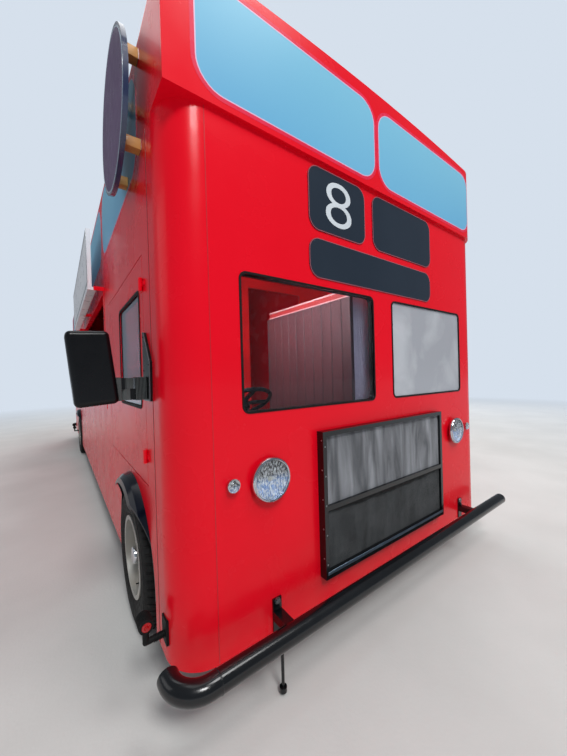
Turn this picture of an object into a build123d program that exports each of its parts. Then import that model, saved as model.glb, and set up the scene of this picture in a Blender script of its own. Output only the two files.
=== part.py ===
from build123d import *
import math
import os

os.makedirs("parts", exist_ok=True)

# A bus-shaped serving vehicle with a low painted upper deck. Lengths are in millimetres.
# X runs across, the front faces -Y and Z is up. The origin is on the ground, in the middle.
# Distances called "back" are measured from the plane of the lower front wall.

# Body shell
BODY_WIDTH = 2500
BODY_LENGTH = 8000
WALL = 40
SKIRT_Z = 225
DECK_Z = 2420
EAVES_Z = 2850
ROOF_EDGE_RADIUS = 100
ROOF_CROWN = 40
CORNER_RADIUS = 165
END_RETURN = 250
UPPER_OVERHANG = 20
SOFFIT_THICKNESS = 20
FLOOR_TOP_Z = 550
FLOOR_THICKNESS = 30

# Front windscreens
SCREEN_INNER_X = 85
SCREEN_SHIFT = 7
SCREEN_WIDTH = 880
SCREEN_BOTTOM_Z = 1198
SCREEN_HEIGHT = 602
SCREEN_CORNER = 36
SEAL_WIDTH = 10
SEAL_PROUD = 3
SEAL_DEPTH = 36
GLASS_THICKNESS = 6
GLASS_INSET = 5

# Grille on the front
GRILLE_X = 20
GRILLE_WIDTH = 1134
GRILLE_BOTTOM_Z = 354
GRILLE_TOP_Z = 1076
GRILLE_BAR = 24
GRILLE_BOTTOM_BAR = 40
GRILLE_DEPTH = 43
GRILLE_MID_Z = 698
GRILLE_MID_BAR = 24
GRILLE_CLOTH = 6
GRILLE_CLOTH_INSET = 14
GRILLE_OPENING_MARGIN = 40

# Sign boards on the front
SIGN_THICKNESS = 4
SIGN_CORNER = 65
NUMBER_SIGN_WIDTH = 422
NUMBER_SIGN_X = -352
NAME_SIGN_WIDTH = 632
NAME_SIGN_X = 244
TOP_SIGN_HEIGHT = 321
TOP_SIGN_Z = 2239
LONG_SIGN_WIDTH = 1116
LONG_SIGN_HEIGHT = 200
LONG_SIGN_X = -8
LONG_SIGN_Z = 1939

# Lamps
HEADLAMP_RADIUS = 95
HEADLAMP_DEPTH = 32
HEADLAMP_X = 838
HEADLAMP_Z = 908
HEADLAMP_DOME = 12
HEADLAMP_RIM = 10
SIDE_LAMP_RADIUS = 28
SIDE_LAMP_DEPTH = 25
SIDE_LAMP_DOME = 12
SIDE_LAMP_X = 1018
SIDE_LAMP_Z = 920
TAIL_LAMP_RADIUS = 50
TAIL_LAMP_DEPTH = 22
TAIL_LAMP_X = 1030
TAIL_LAMP_Z = 950

# Wheels
TYRE_RADIUS = 370
TYRE_WIDTH = 225
BEAD_RADIUS = 204
WHEEL_STANDOUT = 26
FRONT_AXLE_BACK = 770
REAR_AXLE_BACK = 5900
RIM_WALL = 10
DISC_THICKNESS = 8
HUB_RADIUS = 62
HUB_CAP_RADIUS = 44
SPINDLE_RADIUS = 24
RUNNING_GAP = 0.3
VENT_COUNT = 8
VENT_RADIUS = 14
KINGPIN_INSET = 31
KINGPIN_RADIUS = 10
STRUT_RADIUS = 22

# Wheel arches
ARCH_RADIUS = 457
MUDGUARD_THICKNESS = 6
MUDGUARD_STANDOUT = 62
BOX_SHEET = 4
FRONT_BOX_WIDTH = 410
REAR_BOX_WIDTH = 220

# Chassis
RAIL_X = 450
RAIL_WIDTH = 60
RAIL_BOTTOM_Z = 400
RAIL_END_GAP = 60
CROSSMEMBER = 60
SILL_WIDTH = 45
SILL_HEIGHT = 42
SILL_INSET = 14
ENGINE_WIDTH = 640
ENGINE_LENGTH = 620
ENGINE_FRONT_BACK = 260
ENGINE_BOTTOM_Z = 290
ENGINE_TOP_Z = 900
SHAFT_RADIUS = 18
AXLE_TUBE_RADIUS = 45
AXLE_TUBE_Z = 310
TRAILING_ARM = 150
CROSSMEMBER_FROM_FRONT_AXLE = 580
CROSSMEMBER_FROM_REAR_AXLE = 750
MIDDLE_BAYS = 3
JACK_PAD_FROM_AXLE = 1230
JACK_PAD_LENGTH = 120
JACK_PAD_THICKNESS = 10

# Bumpers
BUMPER_RADIUS = 38
BUMPER_Z = 300
BUMPER_AHEAD = 130
BUMPER_SIDE_OUT = 38
BUMPER_STRAIGHT_OUT = 80
BUMPER_BEND = 112
BUMPER_RETURN = 12
BRACKET_PLACES = (-815, 905)
BRACKET_WIDTH = 45
BRACKET_THICKNESS = 8
BRACKET_TOP_Z = 373
BOLT_RADIUS = 9
BOLT_DROPS = (12, 42)
ROD_FROM_BRACKET = 17
ROD_AHEAD = 60
ROD_RADIUS = 7
SADDLE_HALF = 20
ROD_BITE = 10
ROD_FOOT_Z = 12
ROD_FOOT_RADIUS = 16
ROD_FOOT_HEIGHT = 20
TOW_LUG_WIDTH = 80
TOW_LUG_REACH = 110
TOW_LUG_THICKNESS = 20
TOW_LUG_Z = 345
TOW_BORE_RADIUS = 13
TOW_PLATE_BELOW = 20
TOW_PLATE_ABOVE = 60

# Cab doors
DOOR_FRONT_BACK = 380
DOOR_LENGTH = 1165
DOOR_BOTTOM_Z = 862
DOOR_TOP_Z = 1930
DOOR_GAP = 5
CAB_WINDOW_FRONT_BACK = 465
CAB_WINDOW_LENGTH = 580
CAB_WINDOW_BOTTOM_Z = 1222
CAB_WINDOW_HEIGHT = 558
CAB_WINDOW_CORNER = 30

# Rear door
REAR_DOOR_WIDTH = 800
REAR_DOOR_HINGE_X = 900
REAR_DOOR_BOTTOM_Z = 575
REAR_DOOR_TOP_Z = 2330

# Barrel hinges of the doors
HINGE_OFFSET = 10
HINGE_BARREL = 9
HINGE_PIN = 5
HINGE_HEIGHT = 60
HINGE_LEAF = 45
HINGE_PLATE = 4
HINGE_END_INSET = 140

# Serving hatch on the offside, where -X is the offside
HATCH_FRONT_BACK = 1820
HATCH_LENGTH = 2400
HATCH_SILL_Z = 1150
HATCH_TOP_Z = 2080
HATCH_TRIM = 30
TRIM_SHEET = 3
FLAP_HEIGHT = 470
FLAP_THICKNESS = 30
FLAP_OVERLAP = 20
FLAP_HINGE_OUT = 60
FLAP_HINGE_Z = 2112
FLAP_CLEARANCE = 7
TUBE_RADIUS = 12
HINGE_ROD = 5
LUG = 8
LEAF_DEPTH = 470
LEAF_THICKNESS = 25
LEAF_WALL_GAP = 6
COUNTER_DEPTH = 440
COUNTER_SHEET = 30

# Cab fittings and inside
BULKHEAD_BACK = 1700
BULKHEAD_THICKNESS = 30
BULKHEAD_TOP_Z = 2400
BULKHEAD_DOOR_X = 420
BULKHEAD_DOOR_WIDTH = 700
BULKHEAD_DOOR_TOP_Z = 2300
PARTITION_X = -190
PARTITION_THICKNESS = 25
PARTITION_FRONT_BACK = 60
PARTITION_REAR_BACK = 920
PARTITION_TOP_Z = 1800
SEAT_FROM_SIDE = 695
SEAT_WIDTH = 470
SEAT_FRONT_BACK = 1030
SEAT_DEPTH = 470
SEAT_BASE_TOP_Z = 880
CUSHION_THICKNESS = 120
BACKREST_THICKNESS = 110
BACKREST_HEIGHT = 640
DASH_TOP_Z = 1120
DASH_BOTTOM_Z = 960
DASH_DEPTH = 380
COVER_SHEET = 15
COVER_CLEARANCE = 40
WHEEL_RIM_RADIUS = 200
WHEEL_RIM_SECTION = 14
STEERING_BACK = 745
STEERING_Z = 1175
STEERING_RAKE = 30
COLUMN_RADIUS = 20

# Mirrors
MIRROR_BACK = 328
MIRROR_PIVOT_OUT = 85
MIRROR_ARM_BOTTOM_Z = 1271
MIRROR_ARM_HEIGHT = 93
MIRROR_ARM_DEPTH = 56
MIRROR_BASE_THICKNESS = 12
MIRROR_HEAD_DEPTH = 108
MIRROR_HEAD_EDGE = 20
MIRROR_NECK = 80
MIRROR_PIVOT_RADIUS = 22
MIRROR_PIN = 8

# Round signs and marker lamps on the sides
ROUND_SIGN_RADIUS = 330
ROUND_SIGN_THICKNESS = 20
ROUND_SIGN_STANDOUT = 70
ROUND_SIGN_BACK = 501
ROUND_SIGN_Z = 2593
STANDOFF = 45
STANDOFF_ALONG = 157
STANDOFF_UP = 200
MARKER_Z = 405
MARKER_REACH = 75
MARKER_PLATE_BOTTOM_Z = 300
MARKER_PLATE_TOP_Z = 397
MARKER_PLATE_THICKNESS = 6
MARKER_PLATE_HALF = 30
MARKER_PLATE_BITE = 20
MARKER_ARM_Z = 335
MARKER_ARM_RADIUS = 12
MARKER_HOLDER_RADIUS = 26
MARKER_HOLDER_NEAR = 14
MARKER_HOLDER_LENGTH = 60
MARKER_LENS_RADIUS = 22
MARKER_LENS_LENGTH = 6
MARKER_FRONT_BACK = 156
MARKER_REAR_BACK = 6620

# Places that follow from the sizes above
HALF = BODY_WIDTH / 2
INNER = HALF - WALL
FRONT_Y = -BODY_LENGTH / 2
REAR_Y = BODY_LENGTH / 2
FLOOR_BOTTOM_Z = FLOOR_TOP_Z - FLOOR_THICKNESS
AXLE_Z = TYRE_RADIUS
TYRE_OUTER_X = HALF + WHEEL_STANDOUT
TYRE_INNER_X = TYRE_OUTER_X - TYRE_WIDTH
KINGPIN_X = TYRE_INNER_X - KINGPIN_INSET
MUDGUARD_OUTER = ARCH_RADIUS + MUDGUARD_THICKNESS
HATCH_FRONT_Y = FRONT_Y + HATCH_FRONT_BACK
HATCH_REAR_Y = HATCH_FRONT_Y + HATCH_LENGTH
FLAP_AXIS_X = -HALF - FLAP_HINGE_OUT
LEAF_AXIS_X = -INNER + LEAF_WALL_GAP + LEAF_THICKNESS / 2
LEAF_AXIS_Z = HATCH_SILL_Z + RUNNING_GAP + LEAF_THICKNESS / 2
COUNTER_TOP_Z = HATCH_SILL_Z
MIRROR_PIVOT_X = HALF + MIRROR_PIVOT_OUT
MIRROR_Y = FRONT_Y + MIRROR_BACK
SEAT_X = -HALF + SEAT_FROM_SIDE
FAR = BODY_LENGTH


def back(distance):
    """Y of a place at this distance behind the lower front wall."""
    return FRONT_Y + distance


def block(x0, x1, y0, y1, z0, z1):
    """A box between limits."""
    centre = Pos((x0 + x1) / 2, (y0 + y1) / 2, (z0 + z1) / 2)
    return centre * Box(abs(x1 - x0), abs(y1 - y0), abs(z1 - z0))


def rod_x(x0, x1, y, z, radius):
    """A round bar along X."""
    return Pos((x0 + x1) / 2, y, z) * Rot(0, 90, 0) * Cylinder(radius, abs(x1 - x0))


def rod_y(x, y0, y1, z, radius):
    """A round bar along Y."""
    return Pos(x, (y0 + y1) / 2, z) * Rot(90, 0, 0) * Cylinder(radius, abs(y1 - y0))


def rod_z(x, y, z0, z1, radius):
    """A round bar along Z."""
    return Pos(x, y, (z0 + z1) / 2) * Cylinder(radius, abs(z1 - z0))


def panel_y(x, z, width, height, corner, y0, y1):
    """A rounded rectangle in a front view, between two Y places."""
    plane = Plane(origin=(x, y1, z), x_dir=(1, 0, 0), z_dir=(0, -1, 0))
    return extrude(plane * RectangleRounded(width, height, corner), y1 - y0)


def panel_x(y, z, length, height, corner, x0, x1):
    """A rounded rectangle in a side view, between two X places."""
    plane = Plane(origin=(x0, y, z), x_dir=(0, 1, 0), z_dir=(1, 0, 0))
    return extrude(plane * RectangleRounded(length, height, corner), x1 - x0)


def turned(points, axis_y, axis_z):
    """A solid turned about a line along X, from points of (x, radius)."""
    outline = Polyline(*[(x, axis_y, axis_z + radius) for x, radius in points], close=True)
    return revolve(make_face(outline), Axis((0, axis_y, axis_z), (1, 0, 0)), 360)


def other_side(shape):
    """The same piece on the nearside."""
    return mirror(shape, Plane.YZ)


def both(shape):
    """A piece on the offside and its mirror image on the nearside."""
    return [shape, other_side(shape)]


def rear_end(shape):
    """A front piece turned into its counterpart at the rear."""
    return mirror(shape, Plane.XZ)


def write(name, pieces):
    """One STEP file for one named piece or set of like pieces."""
    solids = []
    for piece in pieces if isinstance(pieces, (list, tuple)) else [pieces]:
        solids += piece.solids()
    shape = solids[0] if len(solids) == 1 else Compound(children=solids)
    export_step(shape, os.path.join("parts", name + ".step"))


# Barrel hinge: the fixed part carries the pin, the moving part has two knuckles on it.
def barrel_hinge(x, y, z, fixed_dir, moving_dir, wall_dir):
    """Hinge on a vertical line; each direction is a unit (x, y) step."""
    third = HINGE_HEIGHT / 3
    knuckle = rod_z(x, y, z - third / 2, z + third / 2, HINGE_BARREL)
    pin = rod_z(x, y, z - HINGE_HEIGHT / 2, z + HINGE_HEIGHT / 2, HINGE_PIN)
    fixed = knuckle + pin + hinge_leaf(x, y, z, third, fixed_dir, wall_dir)
    moving = []
    for side in (-1, 1):
        middle = z + side * third
        height = third - 2 * RUNNING_GAP
        part = rod_z(x, y, middle - height / 2, middle + height / 2, HINGE_BARREL)
        part = part + hinge_leaf(x, y, middle, height, moving_dir, wall_dir)
        moving.append(part - rod_z(x, y, z - FAR, z + FAR, HINGE_PIN + RUNNING_GAP))
    return fixed, moving


def hinge_leaf(x, y, z, height, leaf_dir, wall_dir):
    """Flat plate of a hinge, lying on the wall on one side of the hinge line."""
    near = HINGE_OFFSET - HINGE_PLATE
    a = (x + wall_dir[0] * near, y + wall_dir[1] * near)
    b = (a[0] + leaf_dir[0] * HINGE_LEAF + wall_dir[0] * HINGE_PLATE,
         a[1] + leaf_dir[1] * HINGE_LEAF + wall_dir[1] * HINGE_PLATE)
    return block(min(a[0], b[0]), max(a[0], b[0]), min(a[1], b[1]), max(a[1], b[1]),
                 z - height / 2, z + height / 2)


# Shell of the body
def body_filling():
    """The body's lower outline as one full solid, to cut things back to its skin."""
    filling = block(-HALF, HALF, FRONT_Y, REAR_Y, SKIRT_Z - WALL, DECK_Z)
    return fillet(filling.edges().filter_by(Axis.Z), CORNER_RADIUS)


def end_wall_blank():
    """Lower front wall with rounded corners and short returns, still without openings."""
    outer = block(-HALF, HALF, FRONT_Y, back(END_RETURN), SKIRT_Z, DECK_Z)
    outer = fillet(outer.edges().filter_by(Axis.Z).group_by(Axis.Y)[0], CORNER_RADIUS)
    inner = block(-INNER, INNER, back(WALL), back(END_RETURN + WALL), SKIRT_Z - WALL, DECK_Z + WALL)
    inner = fillet(inner.edges().filter_by(Axis.Z).group_by(Axis.Y)[0], CORNER_RADIUS - WALL)
    return outer - inner


def screen_places():
    """Centres of the two windscreens in X."""
    middle = SCREEN_INNER_X + SCREEN_WIDTH / 2
    return (SCREEN_SHIFT - middle, SCREEN_SHIFT + middle)


SCREEN_Z = SCREEN_BOTTOM_Z + SCREEN_HEIGHT / 2


def front_wall():
    wall = end_wall_blank()
    for x in screen_places():
        wall -= panel_y(x, SCREEN_Z, SCREEN_WIDTH, SCREEN_HEIGHT, SCREEN_CORNER,
                        FRONT_Y - WALL, back(2 * WALL))
    side = GRILLE_WIDTH / 2 - GRILLE_OPENING_MARGIN
    wall -= block(GRILLE_X - side, GRILLE_X + side, FRONT_Y - WALL, back(2 * WALL),
                  GRILLE_BOTTOM_Z + GRILLE_OPENING_MARGIN, GRILLE_TOP_Z - GRILLE_OPENING_MARGIN)
    return wall


def roof_outline(inset):
    """Top of the body in a front view, from eaves to eaves."""
    side = HALF - inset
    flat = HALF - ROOF_EDGE_RADIUS
    top = EAVES_Z + ROOF_EDGE_RADIUS - inset
    turn = math.sqrt(0.5) * (ROOF_EDGE_RADIUS - inset)
    left = ThreePointArc((-side, EAVES_Z), (-flat - turn, EAVES_Z + turn), (-flat, top))
    crown = ThreePointArc((-flat, top), (0, top + ROOF_CROWN), (flat, top))
    right = ThreePointArc((flat, top), (flat + turn, EAVES_Z + turn), (side, EAVES_Z))
    return [left, crown, right]


def front_view(lines, y0, y1):
    """A closed set of lines in a front view, made solid between two Y places."""
    plane = Plane(origin=(0, y1, 0), x_dir=(1, 0, 0), z_dir=(0, -1, 0))
    return extrude(plane * make_face(Curve() + lines), y1 - y0)


CORNER_X = HALF - CORNER_RADIUS
UPPER_CORNER_BACK = CORNER_RADIUS - UPPER_OVERHANG


def upper_corner_waste():
    """What the round front corner of the upper deck leaves away on the nearside."""
    y0 = FRONT_Y - UPPER_OVERHANG
    y1 = back(UPPER_CORNER_BACK)
    square = block(CORNER_X, HALF + WALL, y0 - WALL, y1, SKIRT_Z, FAR)
    return square - rod_z(CORNER_X, y1, SKIRT_Z - WALL, FAR + WALL, CORNER_RADIUS)


def roof_panel():
    outer = roof_outline(0)
    inner = roof_outline(WALL)
    feet = [Line((HALF, EAVES_Z), (INNER, EAVES_Z)), Line((-HALF, EAVES_Z), (-INNER, EAVES_Z))]
    roof = front_view(outer + inner + feet, back(UPPER_OVERHANG), REAR_Y - UPPER_OVERHANG)
    return roof - upper_corner_waste() - rear_end(upper_corner_waste())


def upper_corner():
    """Curved sheet that joins the upper front to the nearside wall, under the roof."""
    y1 = back(UPPER_CORNER_BACK)
    sheet = rod_z(CORNER_X, y1, DECK_Z, FAR, CORNER_RADIUS)
    sheet -= rod_z(CORNER_X, y1, DECK_Z - WALL, FAR + WALL, CORNER_RADIUS - WALL)
    below_eaves = block(CORNER_X, HALF, back(UPPER_OVERHANG), y1, DECK_Z, EAVES_Z)
    foot = [Line((-INNER, EAVES_Z), (INNER, EAVES_Z))]
    under_roof = front_view(roof_outline(WALL) + foot, back(UPPER_OVERHANG), y1)
    under_roof = under_roof & block(CORNER_X, HALF, back(UPPER_OVERHANG), y1, DECK_Z, FAR)
    return (sheet & below_eaves) + (sheet & under_roof)


def upper_front_panel():
    """Painted upper deck front with the soffit under it, square on the offside only."""
    sides = [Polyline((HALF, EAVES_Z), (HALF, DECK_Z), (-HALF, DECK_Z), (-HALF, EAVES_Z))]
    panel = front_view(roof_outline(0) + sides, FRONT_Y - UPPER_OVERHANG, back(UPPER_OVERHANG))
    soffit = block(-INNER, INNER, FRONT_Y, back(END_RETURN), DECK_Z, DECK_Z + SOFFIT_THICKNESS)
    return panel + soffit - upper_corner_waste() + upper_corner()


def arch_cut(y):
    """Wheel opening through a side wall on the offside."""
    radius = MUDGUARD_OUTER + RUNNING_GAP
    hole = rod_x(-HALF - WALL, -INNER + WALL, y, AXLE_Z, radius)
    return hole + block(-HALF - WALL, -INNER + WALL, y - radius, y + radius, 0, AXLE_Z)


def side_wall(upper_start):
    """Offside wall without the hatch, its upper part from a distance behind the front."""
    wall = block(-HALF, -INNER, back(END_RETURN), -back(END_RETURN), SKIRT_Z, DECK_Z)
    wall += block(-HALF, -INNER, back(upper_start), -back(upper_start), DECK_Z, EAVES_Z)
    wall -= arch_cut(back(FRONT_AXLE_BACK))
    wall -= arch_cut(back(REAR_AXLE_BACK))
    wall -= block(-HALF - WALL, -INNER + WALL, back(DOOR_FRONT_BACK),
                  back(DOOR_FRONT_BACK + DOOR_LENGTH), DOOR_BOTTOM_Z, DOOR_TOP_Z)
    for z in hinge_heights(DOOR_BOTTOM_Z, DOOR_TOP_Z):
        wall += cab_door_hinge(z)[0]
    return wall


def hinge_heights(bottom, top):
    """Heights of the two hinges of a door."""
    return (bottom + HINGE_END_INSET, top - HINGE_END_INSET)


CAB_HINGE_X = -HALF - HINGE_OFFSET
CAB_HINGE_Y = back(DOOR_FRONT_BACK)


def cab_door_hinge(z):
    return barrel_hinge(CAB_HINGE_X, CAB_HINGE_Y, z, (0, -1), (0, 1), (1, 0))


def cab_door():
    """Offside cab door with its window cut and its knuckles."""
    y0 = back(DOOR_FRONT_BACK) + DOOR_GAP
    y1 = back(DOOR_FRONT_BACK + DOOR_LENGTH) - DOOR_GAP
    door = block(-HALF, -INNER, y0, y1, DOOR_BOTTOM_Z + DOOR_GAP, DOOR_TOP_Z - DOOR_GAP)
    door -= cab_window(-HALF - WALL, -INNER + WALL, 0)
    for z in hinge_heights(DOOR_BOTTOM_Z, DOOR_TOP_Z):
        for part in cab_door_hinge(z)[1]:
            door += part
    return door


def cab_window(x0, x1, shrink):
    """Block of the cab side window on the offside, smaller all round by shrink."""
    return panel_x(back(CAB_WINDOW_FRONT_BACK + CAB_WINDOW_LENGTH / 2),
                   CAB_WINDOW_BOTTOM_Z + CAB_WINDOW_HEIGHT / 2,
                   CAB_WINDOW_LENGTH - 2 * shrink, CAB_WINDOW_HEIGHT - 2 * shrink,
                   CAB_WINDOW_CORNER - shrink, x0, x1)


def cab_glass():
    outer = -HALF + GLASS_INSET
    return cab_window(outer, outer + GLASS_THICKNESS, RUNNING_GAP)


def offside_wall():
    wall = side_wall(UPPER_OVERHANG)
    wall -= block(-HALF - WALL, -INNER + WALL, HATCH_FRONT_Y, HATCH_REAR_Y, HATCH_SILL_Z, HATCH_TOP_Z)
    return wall


REAR_HINGE_X = REAR_DOOR_HINGE_X
REAR_HINGE_Y = REAR_Y + HINGE_OFFSET
HANDLE_LENGTH = 110
HANDLE_BAR = 12
HANDLE_OUT = 34


def rear_door_hinge(z):
    return barrel_hinge(REAR_HINGE_X, REAR_HINGE_Y, z, (1, 0), (-1, 0), (0, -1))


def rear_wall():
    wall = rear_end(end_wall_blank())
    wall -= block(REAR_DOOR_HINGE_X - REAR_DOOR_WIDTH, REAR_DOOR_HINGE_X, REAR_Y - 2 * WALL,
                  REAR_Y + WALL, REAR_DOOR_BOTTOM_Z, REAR_DOOR_TOP_Z)
    for z in hinge_heights(REAR_DOOR_BOTTOM_Z, REAR_DOOR_TOP_Z):
        wall += rear_door_hinge(z)[0]
    return wall


def rear_door():
    x0 = REAR_DOOR_HINGE_X - REAR_DOOR_WIDTH + DOOR_GAP
    x1 = REAR_DOOR_HINGE_X - DOOR_GAP
    door = block(x0, x1, REAR_Y - WALL, REAR_Y, REAR_DOOR_BOTTOM_Z + DOOR_GAP,
                 REAR_DOOR_TOP_Z - DOOR_GAP)
    for z in hinge_heights(REAR_DOOR_BOTTOM_Z, REAR_DOOR_TOP_Z):
        for part in rear_door_hinge(z)[1]:
            door += part
    handle_z = (REAR_DOOR_BOTTOM_Z + REAR_DOOR_TOP_Z) / 2 - HANDLE_LENGTH
    x = x0 + HANDLE_LENGTH / 2
    door += block(x - HANDLE_BAR / 2, x + HANDLE_BAR / 2, REAR_Y, REAR_Y + HANDLE_OUT,
                  handle_z, handle_z + HANDLE_LENGTH)
    return door


# Glass, seals, signs, grille and lamps of the front
def windscreen(x):
    return panel_y(x, SCREEN_Z, SCREEN_WIDTH - 2 * (SEAL_WIDTH + RUNNING_GAP),
                   SCREEN_HEIGHT - 2 * (SEAL_WIDTH + RUNNING_GAP), SCREEN_CORNER - SEAL_WIDTH,
                   back(GLASS_INSET), back(GLASS_INSET + GLASS_THICKNESS))


def windscreen_seal(x):
    outer = panel_y(x, SCREEN_Z, SCREEN_WIDTH - 2 * RUNNING_GAP, SCREEN_HEIGHT - 2 * RUNNING_GAP,
                    SCREEN_CORNER, FRONT_Y - SEAL_PROUD, back(SEAL_DEPTH))
    hole = panel_y(x, SCREEN_Z, SCREEN_WIDTH - 2 * SEAL_WIDTH, SCREEN_HEIGHT - 2 * SEAL_WIDTH,
                   SCREEN_CORNER - SEAL_WIDTH, FRONT_Y - WALL, back(2 * WALL))
    return outer - hole


# Columns: centre X, centre Z, width, height
SIGNS = [
    (NUMBER_SIGN_X, TOP_SIGN_Z, NUMBER_SIGN_WIDTH, TOP_SIGN_HEIGHT),
    (NAME_SIGN_X, TOP_SIGN_Z, NAME_SIGN_WIDTH, TOP_SIGN_HEIGHT),
    (LONG_SIGN_X, LONG_SIGN_Z, LONG_SIGN_WIDTH, LONG_SIGN_HEIGHT),
]


def sign_boards():
    return [panel_y(x, z, width, height, SIGN_CORNER, FRONT_Y - SIGN_THICKNESS, FRONT_Y)
            for x, z, width, height in SIGNS]


def grille_windows():
    """Lower and upper opening of the grille, as (bottom, top) heights."""
    half_bar = GRILLE_MID_BAR / 2
    return [(GRILLE_BOTTOM_Z + GRILLE_BOTTOM_BAR, GRILLE_MID_Z - half_bar),
            (GRILLE_MID_Z + half_bar, GRILLE_TOP_Z - GRILLE_BAR)]


def grille_frame():
    side = GRILLE_WIDTH / 2
    inner = side - GRILLE_BAR
    frame = block(GRILLE_X - side, GRILLE_X + side, FRONT_Y - GRILLE_DEPTH, FRONT_Y,
                  GRILLE_BOTTOM_Z, GRILLE_TOP_Z)
    for low, high in grille_windows():
        frame -= block(GRILLE_X - inner, GRILLE_X + inner, FRONT_Y - 2 * GRILLE_DEPTH,
                       FRONT_Y + GRILLE_DEPTH, low, high)
    return frame


def grille_cloths():
    side = GRILLE_WIDTH / 2 - GRILLE_BAR - RUNNING_GAP
    y0 = FRONT_Y - GRILLE_DEPTH + GRILLE_CLOTH_INSET
    return [block(GRILLE_X - side, GRILLE_X + side, y0, y0 + GRILLE_CLOTH,
                  low + RUNNING_GAP, high - RUNNING_GAP) for low, high in grille_windows()]


def lamp_profile(points, x, z):
    """A lamp turned about a line along Y, from points of (distance ahead, radius)."""
    outline = Polyline(*[(x + radius, FRONT_Y - ahead, z) for ahead, radius in points], close=True)
    return revolve(make_face(outline), Axis((x, FRONT_Y, z), (0, 1, 0)), 360)


def lamp_dome(x, z, ahead, radius, height):
    """Shallow lens: a cap of a sphere on a lamp's rim."""
    sphere = (radius * radius + height * height) / (2 * height)
    ball = Pos(x, FRONT_Y - ahead - height + sphere, z) * Sphere(sphere)
    keep = block(x - 2 * radius, x + 2 * radius, FRONT_Y - ahead - 2 * height, FRONT_Y - ahead,
                 z - 2 * radius, z + 2 * radius)
    return ball & keep


HEADLAMP_FOOT_RADIUS = 74
HEADLAMP_SHOULDER_RADIUS = 88
HEADLAMP_SHOULDER_AHEAD = 16
HEADLAMP_RIM_AHEAD = 22
REFLECTOR_DEPTH = 8
SIDE_LAMP_FOOT_RADIUS = 22


def headlamp_body():
    rim = HEADLAMP_RADIUS - HEADLAMP_RIM
    points = [(0, 0), (0, HEADLAMP_FOOT_RADIUS), (HEADLAMP_SHOULDER_AHEAD, HEADLAMP_SHOULDER_RADIUS),
              (HEADLAMP_RIM_AHEAD, HEADLAMP_RADIUS), (HEADLAMP_DEPTH, HEADLAMP_RADIUS),
              (HEADLAMP_DEPTH + HEADLAMP_RIM / 2, rim), (HEADLAMP_DEPTH - HEADLAMP_RIM, rim),
              (REFLECTOR_DEPTH, 0)]
    return lamp_profile(points, -HEADLAMP_X, HEADLAMP_Z)


def side_lamp_body():
    points = [(0, 0), (0, SIDE_LAMP_FOOT_RADIUS), (SIDE_LAMP_DEPTH, SIDE_LAMP_RADIUS),
              (SIDE_LAMP_DEPTH, 0)]
    return lamp_profile(points, -SIDE_LAMP_X, SIDE_LAMP_Z)


def lamp_lenses():
    inside = HEADLAMP_RADIUS - HEADLAMP_RIM - RUNNING_GAP
    head = lamp_dome(-HEADLAMP_X, HEADLAMP_Z, HEADLAMP_DEPTH, inside, HEADLAMP_DOME)
    ring = lamp_profile([(HEADLAMP_DEPTH - HEADLAMP_RIM, 0), (HEADLAMP_DEPTH - HEADLAMP_RIM, inside),
                         (HEADLAMP_DEPTH, inside), (HEADLAMP_DEPTH, 0)], -HEADLAMP_X, HEADLAMP_Z)
    side = lamp_dome(-SIDE_LAMP_X, SIDE_LAMP_Z, SIDE_LAMP_DEPTH, SIDE_LAMP_RADIUS, SIDE_LAMP_DOME)
    return both(head + ring) + both(side)


# Chassis, engine and axles
def middle_crossmembers():
    """Y of the middle of each crossmember between the axles."""
    first = back(FRONT_AXLE_BACK + CROSSMEMBER_FROM_FRONT_AXLE)
    last = back(REAR_AXLE_BACK - CROSSMEMBER_FROM_REAR_AXLE)
    bay = (last - first) / MIDDLE_BAYS
    return [first + index * bay for index in range(MIDDLE_BAYS + 1)]


def end_crossmembers():
    """Y of the middle of each other crossmember, clear of the engine and the wheels."""
    return [back(CROSSMEMBER * 2), back(REAR_AXLE_BACK + CROSSMEMBER_FROM_REAR_AXLE),
            REAR_Y - CROSSMEMBER * 2]


def jack_pads():
    """Pads under the rails, where a jack or stand lifts the vehicle."""
    pads = []
    for y in (back(FRONT_AXLE_BACK + JACK_PAD_FROM_AXLE), back(REAR_AXLE_BACK - JACK_PAD_FROM_AXLE)):
        pads += both(block(-RAIL_X - RAIL_WIDTH / 2, -RAIL_X + RAIL_WIDTH / 2, y - JACK_PAD_LENGTH / 2,
                           y + JACK_PAD_LENGTH / 2, RAIL_BOTTOM_Z - JACK_PAD_THICKNESS, RAIL_BOTTOM_Z))
    return pads


def chassis_frame():
    y0 = back(RAIL_END_GAP)
    y1 = REAR_Y - RAIL_END_GAP
    outer = RAIL_X + RAIL_WIDTH / 2
    frame = block(-outer, -outer + RAIL_WIDTH, y0, y1, RAIL_BOTTOM_Z, FLOOR_BOTTOM_Z)
    frame += other_side(frame)
    sill = INNER - SILL_INSET
    for y in end_crossmembers():
        frame += block(-outer, outer, y - CROSSMEMBER / 2, y + CROSSMEMBER / 2,
                       RAIL_BOTTOM_Z + CROSSMEMBER / 2, FLOOR_BOTTOM_Z)
    for y in middle_crossmembers():
        frame += block(-sill, sill, y - CROSSMEMBER / 2, y + CROSSMEMBER / 2,
                       RAIL_BOTTOM_Z + CROSSMEMBER / 2, FLOOR_BOTTOM_Z)
        for leg in both(block(-sill, -sill + SILL_WIDTH, y - CROSSMEMBER / 2,
                              y + CROSSMEMBER / 2, SKIRT_Z - SILL_HEIGHT, FLOOR_BOTTOM_Z)):
            frame += leg
    first = middle_crossmembers()[0] - CROSSMEMBER / 2
    last = middle_crossmembers()[-1] + CROSSMEMBER / 2
    for rail in both(block(-sill, -sill + SILL_WIDTH, first, last, SKIRT_Z - SILL_HEIGHT, SKIRT_Z)):
        frame += rail
    for pad in jack_pads():
        frame += pad
    return frame


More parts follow.
